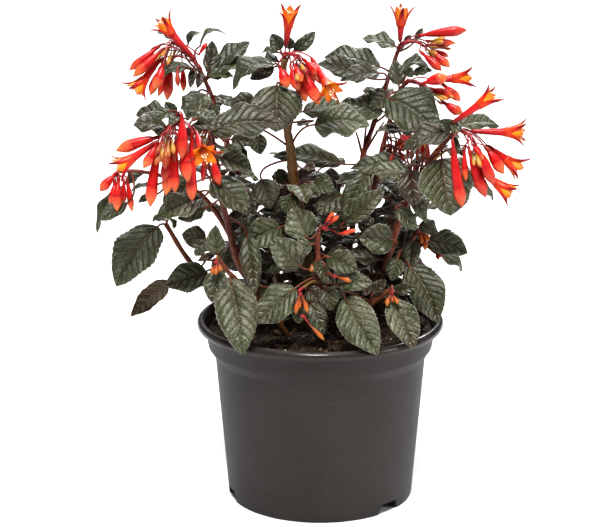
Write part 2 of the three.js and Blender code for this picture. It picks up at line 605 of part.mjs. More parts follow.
// True when no two corners of a solid lie at one place
function hasOwnCorners(solid) {
  const { vertProperties } = solid.getMesh();
  const places = new Set();
  for (let i = 0; i < vertProperties.length; i += 3) {
    places.add([0, 1, 2].map((k) => Math.round(vertProperties[i + k] / SMALLEST_STEP)).join());
  }
  return places.size === vertProperties.length / 3;
}

// The solids as one body, made plainer by the largest tolerance that leaves each corner its own place
function join(solids) {
  const whole = solids.reduce((sum, next) => sum.add(next)).asOriginal();
  const bodies = JOIN_TOLERANCES.map((tolerance) => whole.simplify(tolerance).decompose()
    .sort((a, b) => b.volume() - a.volume())[0]);
  return bodies.find(hasOwnCorners);
}

// A smooth path through a stem's points
function stemCurve(stem) {
  const points = stem.map(([X, Z, y]) => seen(X, Z, y));
  return new THREE.CatmullRomCurve3(points, false, "catmullrom", 0.5);
}

function stemPoint(stem, position) {
  return stemCurve(stem).getPoint(position / (stem.length - 1));
}

function stemRings(stem, extra = 0) {
  const path = stem.map(([X, Z, y]) => seen(X, Z, y));
  return rodRings(path, stem.map((point) => point[3] + extra), STEM_SIDES);
}

// What a stem's foot takes out of the soil: its first length, a little wider and a little longer
function footHole(stem) {
  const [foot, above] = stemRings(stem, FOOT_CLEARANCE);
  const drop = seen(...stem[0]).sub(seen(...stem[1])).setLength(FOOT_CLEARANCE);
  return loft([foot.map((corner) => corner.add(drop)), above]);
}

function bend(start, control, end, t) {
  return new THREE.QuadraticBezierCurve3(start, control, end).getPoint(t);
}

// The direction that a face looks: turned from the front towards the right, then lifted
function lookDirection(turn, lift) {
  const a = THREE.MathUtils.degToRad(turn);
  const b = THREE.MathUtils.degToRad(lift);
  return new THREE.Vector3(Math.sin(a) * Math.cos(b), -Math.cos(a) * Math.cos(b), Math.sin(b));
}

// Half the blade's width at a share t of its length, for a half width of 1: a round base and a drawn-
// out tip
function bladeHalfWidth(t) {
  return 2.72 * Math.pow(t, 0.62) * Math.pow(1 - t, 0.85);
}

// One leaf: a stalk of four sides that runs on into an arched blade with a rib and a waved edge. The
// stalk's rings are turned back from the blade's own directions, so that they stay square to its path
function leafSolid(stem, row) {
  const [from, bX, bZ, bY, tX, tZ, tY, width, turn, lift, arch] = row;
  const base = seen(bX, bZ, bY);
  const tip = seen(tX, tZ, tY);
  const root = stemPoint(stem, from);
  const length = base.distanceTo(tip);
  const along = tip.clone().sub(base).normalize();
  const up = lookDirection(turn, lift);
  up.addScaledVector(along, -up.dot(along)).normalize();
  const side = new THREE.Vector3().crossVectors(along, up);
  const control = base.clone().addScaledVector(along, -0.4 * root.distanceTo(base));
  const stalk = new THREE.QuadraticBezierCurve3(root, control, base);
  const ways = [side.clone(), up.clone()];
  const rings = [];
  let ahead = along;
  const reach = base.clone().sub(root);
  const bends = reach.length() > LONG_STALK || reach.dot(along) < SHARP_TURN * reach.length();
  for (const t of bends ? [1, 0.5, 0] : [1, 0]) {
    const tangent = stalk.getTangent(t);
    const turnBack = new THREE.Quaternion().setFromUnitVectors(ahead, tangent);
    ways.forEach((way) => way.applyQuaternion(turnBack));
    ahead = tangent;
    const centre = stalk.getPoint(t);
    rings.unshift([1, -1].flatMap((sign) => ways.map((way) => centre.clone()
      .addScaledVector(way, sign * LEAF_STALK_RADIUS))));
  }
  const steps = 2 + LEAF_WIDTHS.filter((limit) => width > limit).length;
  for (let i = 0; i < steps; i++) {
    const t = (i + 0.55) / (steps + 0.1);
    const half = 0.5 * width * bladeHalfWidth(t);
    const wave = 0.03 * width * (i % 2 ? 1 : -1);
    const rib = base.clone().addScaledVector(along, length * t)
      .addScaledVector(up, arch * length * 4 * t * (1 - t));
    const edges = [1, -1].map((sign) => rib.clone()
      .addScaledVector(side, sign * half)
      .addScaledVector(up, EDGE_LIFT * half + sign * wave));
    rings.push([
      edges[0],
      rib.clone().addScaledVector(up, 0.5 * LEAF_THICKNESS),
      edges[1],
      rib.clone().addScaledVector(up, -0.5 * LEAF_THICKNESS),
    ]);
  }
  rings.push([tip]);
  return loft(rings);
}

// The rings of a flower stalk and of what hangs from it, as one rod along a bent path. What hangs is
// given as [distance past the stalk's end, radius], and firstSide is where the last ring's first
// corner lies
function stalkedRings(root, base, tip, widths, firstSide) {
  const reach = root.distanceTo(base);
  const control = root.clone().lerp(base, 0.5).add(new THREE.Vector3(0, 0, 0.28 * reach));
  const along = tip.clone().sub(base);
  const path = reach > LONG_FLOWER_STALK ? [root, bend(root, control, base, 0.5), base] : [root, base];
  const radii = path.map(() => FLOWER_STALK_RADIUS);
  for (const [distance, radius] of widths) {
    path.push(base.clone().addScaledVector(along, distance / along.length()));
    radii.push(radius);
  }
  return rodRings(path.reverse(), radii.reverse(), 4, firstSide).reverse();
}

// A closed bud: a club that swells towards its last quarter and ends in a point
function budSolid(root, [bX, bZ, bY, tX, tZ, tY, width]) {
  const base = seen(bX, bZ, bY);
  const tip = seen(tX, tZ, tY);
  const length = base.distanceTo(tip);
  const belly = 0.52 * width;
  if (width < SMALL_BUD) {
    return loft(stalkedRings(root, base, tip, [[0.62 * length, belly], [length, 0]]));
  }
  const ovary = Math.min(OVARY_LENGTH, 0.3 * length);
  const tube = length - ovary;
  const widths = [
    [0.5 * ovary, OVARY_RADIUS], [ovary, 0.24 * width], [ovary + 0.7 * tube, belly], [length, 0],
  ];
  return loft(stalkedRings(root, base, tip, widths));
}

// An open flower in one piece: a long tube that widens to its mouth, four flared sepals with a rib,
// four petals that stand between them round the throat, and the style
function flowerSolid(root, [bX, bZ, bY, mX, mZ, mY, turn, flare]) {
  const base = seen(bX, bZ, bY);
  const mouth = seen(mX, mZ, mY);
  const length = base.distanceTo(mouth);
  const axis = mouth.clone().sub(base).normalize();
  const across = new THREE.Vector3(0, 0, 1).addScaledVector(axis, -axis.z);
  if (across.length() < 0.2) across.set(0, -1, 0).addScaledVector(axis, axis.y);
  across.normalize();
  const outward = (degrees) => across.clone().applyAxisAngle(axis, THREE.MathUtils.degToRad(turn + degrees));
  const four = (start, radius, ahead) => [0, 90, 180, 270].map((step) => mouth.clone()
    .addScaledVector(outward(start - step), radius).addScaledVector(axis, ahead));
  const lean = THREE.MathUtils.degToRad(flare);
  const points = [
    ...four(45, SEPAL.base, 0),
    ...four(0, SEPAL.rib, 0.8),
    ...four(0, 2 + SEPAL.length * Math.sin(lean), SEPAL.length * Math.cos(lean)),
    ...four(45, PETAL.spread, PETAL.length),
    ...four(0, PETAL.throat, 0.8),
    ...four(0, STYLE.radius, 0),
    mouth.clone().addScaledVector(axis, STYLE.length),
  ];
  const [rim, corner, middle, sepal, petal, throat, style, tip] = [0, 4, 8, 12, 16, 20, 24, 28];
  const triangles = [];
  for (let k = 0; k < 4; k++) {
    const next = (k + 1) % 4;
    const last = (k + 3) % 4;
    triangles.push(
      [rim + k, rim + next, sepal + k], [corner + k, rim + k, sepal + k],
      [rim + next, corner + next, sepal + k],
      [middle + k, corner + k, sepal + k], [corner + next, middle + k, sepal + k],
      [corner + k, middle + k, petal + k], [middle + last, corner + k, petal + k],
      [middle + k, throat + k, petal + k], [throat + last, middle + last, petal + k],
      [throat + k, throat + last, petal + k],
      [throat + last, throat + k, style + k], [style + last, throat + last, style + k],
      [style + last, style + k, tip],
    );
  }
  const tube = [[3, 1.3], [0.72 * length, 2.4], [length - SEPAL.thickness, SEPAL.base]];
  return loft(stalkedRings(root, base, mouth, tube, outward(45)), { points, triangles });
}

function sprayRoot(end, before) {
  const way = end.clone().sub(before).normalize();
  return { start: end.clone().addScaledVector(way, CLEARANCE), way };
}

// A spray that carries on from a cut end: an axis as thick as the end, and a stalk to each flower and
// bud, the open flowers nearest to the end
function spraySolid(end, before, radius, axisPoints, buds, flowers) {
  const { start, way } = sprayRoot(end, before);
  const collar = start.clone().addScaledVector(way, SPRAY_COLLAR);
  const path = [start, collar, ...axisPoints];
  const radii = path.map((_, i) => (i < 2 ? radius : 0.75 * radius));
  const solids = [rod(path, radii, 5)];
  const axis = new THREE.CatmullRomCurve3(path.slice(1), false, "catmullrom", 0.5);
  const rows = [...flowers, ...buds];
  rows.forEach((row, i) => {
    const root = axis.getPoint((i + 0.4) / rows.length);
    solids.push(row.length === FLOWER_ROW ? flowerSolid(root, row) : budSolid(root, row));
  });
  return join(solids);
}

function twigSolid(stem, from, end) {
  const root = stemPoint(stem, from);
  const middle = root.clone().lerp(end, 0.5).add(new THREE.Vector3(0, 0, 2));
  return { path: [root, middle, end], solid: rod([root, middle, end], [1.3, 1.1, 1.1], STEM_SIDES) };
}

function lathe(profile, sides) {
  const geometry = new THREE.LatheGeometry(profile.map(([r, z]) => new THREE.Vector2(r, z)), sides);
  geometry.rotateX(Math.PI / 2);
  return geometry;
}

// The pot: a foot disc, a raised gutter round it, a tapered wall, a step, a collar and a rolled lip,
// with notches in the foot of the wall that drain the gutter
function potSolid() {
  const profile = [
    [0, 0], [50, 0], [51.5, 5], [60.8, 5], [61.8, 0],
    [FOOT_RADIUS - 0.4, 0], [FOOT_RADIUS + 0.1, 1], [STEP_RADIUS, STEP_HEIGHT],
    [COLLAR_RADIUS - COLLAR_TAPER, COLLAR_FOOT], [COLLAR_RADIUS, POT_HEIGHT - 6.4],
    [LIP_RADIUS - 0.8, POT_HEIGHT - 6], [LIP_RADIUS, POT_HEIGHT - 3.4],
    [LIP_RADIUS - 1.6, POT_HEIGHT - 0.4], [LIP_RADIUS - 4.2, POT_HEIGHT],
    [COLLAR_RADIUS - POT_WALL, INNER_TOP], [COLLAR_RADIUS - COLLAR_TAPER - POT_WALL, COLLAR_FOOT + 0.5],
    [STEP_RADIUS - POT_WALL, STEP_HEIGHT], [FOOT_RADIUS - 1.2, 7], [50.2, 7], [48.6, 2], [0, 2],
  ];
  let pot = solidFromGeometry(lathe(profile, POT_SIDES));
  for (let k = 0; k < NOTCH.count; k++) {
    const outline = new THREE.Shape([
      new THREE.Vector2(-0.5 * NOTCH.width, -1), new THREE.Vector2(0.5 * NOTCH.width, -1),
      new THREE.Vector2(0.5 * NOTCH.topWidth, NOTCH.height),
      new THREE.Vector2(-0.5 * NOTCH.topWidth, NOTCH.height),
    ]);
    const cutter = new THREE.ExtrudeGeometry(outline, { depth: 12, bevelEnabled: false });
    cutter.translate(0, 0, 55);
    cutter.rotateX(Math.PI / 2);
    cutter.rotateZ(THREE.MathUtils.degToRad(NOTCH.firstAngle + 90 + (360 * k) / NOTCH.count));
    pot = pot.subtract(solidFromGeometry(cutter));
  }
  return pot;
}

// Low lumps of peat, by a formula, that die out at the wall
function soilHeight(x, y) {
  const r = Math.hypot(x, y) / COLLAR_RADIUS;
  const broad = 1.3 * Math.sin(0.23 * x + 1.1) * Math.cos(0.19 * y - 0.4);
  const lumps = broad + 0.8 * Math.sin(0.41 * x - 0.37 * y);
  return SOIL_LEVEL + SOIL_MOUND * (1 - r * r) + lumps * (1 - r ** 4);
}

function soilSolid() {
  const gap = CLEARANCE;
  const wall = COLLAR_RADIUS - POT_WALL - gap;
  const innerFoot = COLLAR_FOOT + 0.5;
  const edge = wall - (COLLAR_TAPER * (INNER_TOP - SOIL_LEVEL)) / (INNER_TOP - innerFoot);
  const profile = [
    [0, 2 + gap], [48.6 - gap, 2 + gap], [50.2 - gap, 7 + gap], [FOOT_RADIUS - 1.2 - gap, 7 + gap],
    [STEP_RADIUS - POT_WALL - gap, STEP_HEIGHT + gap], [wall - COLLAR_TAPER, innerFoot + gap],
    [edge, SOIL_LEVEL], [52, SOIL_LEVEL], [26, SOIL_LEVEL], [0, SOIL_LEVEL],
  ];
  const geometry = lathe(profile, POT_SIDES);
  const place = geometry.getAttribute("position");
  for (let i = 0; i < place.count; i++) {
    const [x, y, z] = [place.getX(i), place.getY(i), place.getZ(i)];
    if (z > SOIL_LEVEL - 0.01 && Math.hypot(x, y) < edge - 1) place.setZ(i, soilHeight(x, y));
  }
  return solidFromGeometry(geometry);
}

const group = new THREE.Group();

function addMesh(name, solid, finish) {
  const { vertProperties, triVerts, numProp } = solid.getMesh();
  const geometry = new THREE.BufferGeometry();
  const places = new Float32Array((vertProperties.length / numProp) * 3);
  for (let i = 0; i < places.length / 3; i++) {
    places.set(vertProperties.subarray(i * numProp, i * numProp + 3), 3 * i);
  }
  geometry.setAttribute("position", new THREE.BufferAttribute(places, 3));
  geometry.setIndex(Array.from(triVerts));
  geometry.computeVertexNormals();
  const mesh = new THREE.Mesh(geometry, finish);
  mesh.name = name;
  group.add(mesh);
}

function stemEnd(stem) {
  return [stemPoint(stem, stem.length - 1), stemPoint(stem, stem.length - 1.05)];
}

let soil = soilSolid();
const twigs = {};
for (const shoot of Object.values(leafyStems)) {
  shoot.stem = leaned(shoot.stem, [0], shoot.lean);
  shoot.leaves = leaned(shoot.leaves, [1, 4], shoot.lean);
}
for (const [name, spray] of Object.entries(flowerSprays)) {
  const { lean } = leafyStems[name];
  spray.axis = leaned(spray.axis, [0], lean);
  spray.buds = leaned(spray.buds, [0, 3], lean);
  spray.flowers = leaned(spray.flowers, [0, 3], lean);
}
for (const [name, spray] of Object.entries(budSprays)) {
  const { stem, lean } = leafyStems[spray.stem];
  const [end] = leaned([spray.twig], [0], lean);
  spray.buds = leaned(spray.buds, [0, 3], lean);
  twigs[name] = twigSolid(stem, spray.from, seen(...end));
}
for (const [name, { stem, leaves }] of Object.entries(leafyStems)) {
  const ownTwigs = Object.keys(budSprays)
    .filter((key) => budSprays[key].stem === name)
    .map((key) => twigs[key].solid);
  const blades = leaves.map((row) => leafSolid(stem, row));
  addMesh(`leafy_stem_${name}`, join([loft(stemRings(stem)), ...ownTwigs, ...blades]), finishes.foliage);
  soil = soil.subtract(footHole(stem));
}
for (const [name, { axis, buds, flowers }] of Object.entries(flowerSprays)) {
  const { stem } = leafyStems[name];
  const [end, before] = stemEnd(stem);
  const radius = stem[stem.length - 1][3];
  const points = axis.map((place) => seen(...place));
  addMesh(`flower_spray_${name}`, spraySolid(end, before, radius, points, buds, flowers), finishes.flower);
}
for (const [name, { buds }] of Object.entries(budSprays)) {
  const [, before, end] = twigs[name].path;
  const { start, way } = sprayRoot(end, before);
  const tip = start.clone().addScaledVector(way, TWIG_TIP);
  addMesh(`bud_spray_${name}`, spraySolid(end, before, 1.1, [tip], buds, []), finishes.youngBud);
}
addMesh("pot", potSolid(), finishes.pot);
addMesh("potting_soil", soil, finishes.soil);

export default group;
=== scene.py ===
import math
import random

import bpy
from mathutils import Matrix, Vector, noise


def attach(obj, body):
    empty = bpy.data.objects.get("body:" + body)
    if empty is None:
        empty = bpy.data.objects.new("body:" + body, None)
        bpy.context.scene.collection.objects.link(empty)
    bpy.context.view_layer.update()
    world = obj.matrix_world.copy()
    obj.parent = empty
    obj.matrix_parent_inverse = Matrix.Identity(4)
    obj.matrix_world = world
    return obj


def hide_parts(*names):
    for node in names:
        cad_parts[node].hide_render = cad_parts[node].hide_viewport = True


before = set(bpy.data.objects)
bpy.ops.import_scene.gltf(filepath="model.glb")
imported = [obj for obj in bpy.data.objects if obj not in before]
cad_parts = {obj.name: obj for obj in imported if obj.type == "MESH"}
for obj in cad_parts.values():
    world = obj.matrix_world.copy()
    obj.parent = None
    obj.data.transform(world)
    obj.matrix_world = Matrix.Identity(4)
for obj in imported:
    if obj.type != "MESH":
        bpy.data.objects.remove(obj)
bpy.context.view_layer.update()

MM = 0.001

# The eye that the places in the plant are given for, as in the part's source
EYE_DISTANCE = 1300
EYE_HEIGHT = 520
LEAN_HEIGHT = 200
SOIL_LEVEL = 119

# Sizes of the pot and its soil, as in the part's source
POT_HEIGHT = 127
LIP_RADIUS = 85
COLLAR_RADIUS = 79.4
COLLAR_TAPER = 2.2
COLLAR_FOOT = 107.5
INNER_TOP = 123
STEP_RADIUS = 72.6
STEP_HEIGHT = 101
FOOT_RADIUS = 64
POT_WALL = 1.6
NOTCH = {"count": 3, "first_angle": -43.5, "width": 21, "top_width": 15, "height": 7}
SOIL_MOUND = 3
SOIL_GAP = 0.35

# Sizes of the plant, as in the part's source
EDGE_LIFT = 0.16
LEAF_WIDTHS = (9, 20)
SPRAY_COLLAR = 2.4
TWIG_TIP = 5
TWIG_RADIUS = 1.1
OVARY_LENGTH = 6
OVARY_RADIUS = 1.5
SMALL_BUD = 6
SLIM_BUD = 7.6
SEPAL_LENGTH = 14
TUBE_MOUTH = 3.2
PETAL_LENGTH = 10.2
STYLE_LENGTH = 15

# Finer sizes that only the looks have
BLADE_THICKNESS = 0.6
LEAF_STALK_RADIUS = 0.8
FLOWER_STALK_RADIUS = 0.5
SEPAL_WIDTHS = (4.9, 5.0, 4.5, 3.7, 3.0, 2.4, 1.7, 0.6)
SEPAL_THICKNESS = 0.5
PETAL_THICKNESS = 0.4
TUBE_SIDES = 16
PETAL_WIDTHS = (3.6, 5.6, 6.8, 7.2, 6.8, 5.6, 3.6, 0.8)
NEST_BUDS = 8
TUFT_BUDS = 1
STEM_SHARE = 0.84
THICK_STEM_SHARE = 1.25

# Where the smaller inner leaves go: X and Z on the plate, the depth, and the room each needs. Below
# POT_CLEAR_Z their tips stay within POT_CLEAR_RADIUS, so that none passes through the pot.
POT_CLEAR_Z = 131
POT_CLEAR_RADIUS = 70
INNER_LEVELS = 12
INNER_LENGTHS = (16, 30)
INNER_REACH = 66
INNER_LOW = 124
INNER_HIGH = 232
INNER_FRONT = -34
INNER_BACK = 100
INNER_SPACE = 9.5

# The relief of a blade as shares of its width, and the room of a tooth and of a side vein at its rim
QUILT_DEPTH = 0.02
GROOVE_DEPTH = 0.03
WAVE_DEPTH = 0.03
RIPPLE_DEPTH = 0.085
TOOTH_DEPTH = 0.035
TOOTH_SPACE = 2.2
VEIN_SPACE = 5.5

# Tones of reddish stalks and stems stay under this
RED_TONE = 0.6

# Counts of what lies on the soil, and the seeds of all random draws
CRUMB_COUNT = 2100
GRIT_COUNT = 70
BARK_COUNT = 90
FIBRE_COUNT = 160
LEAF_SEED = 100
INNER_SEED = 150
FLOWER_SEED = 200
BUD_SEED = 300
SOIL_SEED = 7

# The floor's reach in metres, the strength of the even light, and the camera of the photo's view
FLOOR_REACH = 9
SKY_STRENGTH = 0.16
CAMERA_PITCH = 15.3
CAMERA_LENS = 118.1
CAMERA_SENSOR = 36
CAMERA_SHIFT = -0.0338

# Small leaves that only the looks have, by the stem each grows on: a row as in the leafy stems with
# true depths, then its tone from 0, brown, to 1, grey green
SMALL_LEAVES = {
    "top_left": [
        [6.5, -84, 300, 36, -87, 286, 30, 6, -10, 10, 0.1, 0.05],
        [6.2, -80, 297, 40, -82, 286, 34, 6, 20, 10, 0.1, 0.0],
        [6.0, -75, 294, 42, -58, 294, 40, 10, 0, 55, 0.1, 0.85],
        [3.6, -60, 251, 44, -43, 248, 38, 11, 0, 30, 0.1, 0.35],
        [3.4, -58, 247, 44, -49, 238, 40, 8, 10, 20, 0.1, 0.3],
    ],
    "centre": [
        [7.6, -31, 300, -2, -47, 292, -6, 10, 0, 20, 0.15, 0.02],
        [6.0, -7, 263, 6, -16, 261, 4, 7, 0, 60, 0.1, 0.95],
        [3.2, -15, 223, 10, -2, 230, 20, 11, 0, 30, 0.1, 0.0],
        [3.0, -21, 219, 12, -31, 229, 20, 10, 0, 40, 0.1, 0.03],
        [3.0, -14, 211, 14, -5, 223, 20, 10, 0, 40, 0.1, 0.4],
    ],
    "back": [
        [2.6, -12, 204, 38, -2, 215, 34, 12, 0, 40, 0.1, 0.3],
        [2.4, -9, 206, 42, -5, 192, 36, 11, 0, 20, 0.1, 0.12],
    ],
    "right_middle": [[2.2, 47, 211, 2, 62, 201, -4, 11, 0, 30, 0.12, 0.0]],
    "left_side": [[5.5, -131, 207, -24, -150, 195, -22, 10, 0, 30, 0.12, 0.55]],
    "front_left": [
        [3, -70, 181, -40, -85, 172, -44, 9, 0, 30, 0.1, 0.5],
        [2.9, -72, 175, -42, -90, 180, -40, 7, 0, 40, 0.1, 0.3],
        [2.8, -72, 171, -44, -84, 166, -46, 5, 0, 20, 0.1, 0.0],
    ],
    "front": [[1.6, -3, 166, -46, 2, 156, -58, 9, -20, 30, 0.1, 0.8]],
    "right": [
        [6.8, 92, 263, -46, 90, 254, -54, 8, 0, 30, 0.1, 0.9],
        [6.6, 90, 253, -44, 92, 240, -50, 5, 20, 20, 0.1, 0.8],
    ],
    "left": [[6.8, -97, 268, -46, -101, 260, -56, 7, 10, 30, 0.1, 0.9]],
}

# Bare stalks of fallen flowers and leaves, by stem: the stem point each leaves from, and its end
BARE_TWIGS = {
    "centre_right": [[2.95, 24, 256, 44], [2.98, 36, 260, 44], [3.0, 43, 263, 42], [3.02, 31, 262, 46]],
    "right": [
        [4.2, 62, 247, -30], [4.5, 66, 253, -26], [4.3, 69, 241, -36], [4.6, 74, 256, -30],
        [4.4, 58, 240, -28],
    ],
    "low_right": [[2.6, 79, 173, -6]],
}

# Small buds and berries that only the looks have, by stem: their skin, then the stem point each hangs
# from, its base, its tip and its width as in the sprays with true depths
SMALL_BUDS = {
    "right_middle": ("dark", [
        [3.4, 48, 250, 0, 47, 240, -6, 3.2], [3.5, 51, 251, -4, 51, 241, -10, 3.4],
        [3.6, 55, 251, -2, 56, 242, -8, 3], [3.3, 46, 247, 4, 45, 239, 0, 2.8],
        [3.2, 58, 248, 2, 59.5, 239, -4, 3], [3.3, 49, 245, 4, 50, 237, 0, 2.6],
        [3.2, 53, 246, 6, 54, 238, 2, 2.8], [3.4, 57, 252, 4, 61, 245, 0, 3],
    ]),
    "low_right": ("dark", [[2.6, 79, 173, -6, 81, 167, -8, 3.5], [2.6, 79, 173, -6, 84, 169, -8, 3.5]]),
    "right": ("green", [
        [4.4, 87, 244, -46, 76, 236.5, -50, 1.4], [4.4, 86, 247, -46, 75, 240, -50, 1.3],
        [4.4, 85, 249.5, -46, 77, 244, -50, 1.3], [4.6, 98, 247, -50, 104, 239, -54, 3],
    ]),
    "left": ("green", [
        [6.9, -104, 250, -66, -107.5, 235, -72, 5], [6.9, -102, 250, -66, -102.5, 238, -72, 4.5],
        [6.9, -106, 249, -66, -111, 240, -71, 4.5], [6.9, -100, 251, -66, -99, 241, -71, 4],
        [6.9, -105, 248, -68, -105, 230, -74, 5.2],
    ]),
    "front": ("green", [[2.1, -6, 163.5, -50, -5.2, 158, -52, 5]]),
    "top_left": ("dark", [[5.4, -95, 300, 18, -95, 287, 14, 4.5]]),
}

# Grown buds that fill the fullest sprays and that only the looks have
MORE_BUDS = {
    "left": [[-94, 253, -58, -89.5, 221, -64, 7.6], [-100, 251, -56, -105, 212, -60, 7.6]],
    "centre": [[-20, 302, -24, -14, 284, -31, 7.6], [-16, 303, -22, -5, 282, -29, 7.6]],
    "top_left": [[-104, 304, 0, -111, 285, -4, 7.2]],
    "right": [[105, 247, -62, 118, 219, -66, 7.4]],
}

# The plant's places and sizes

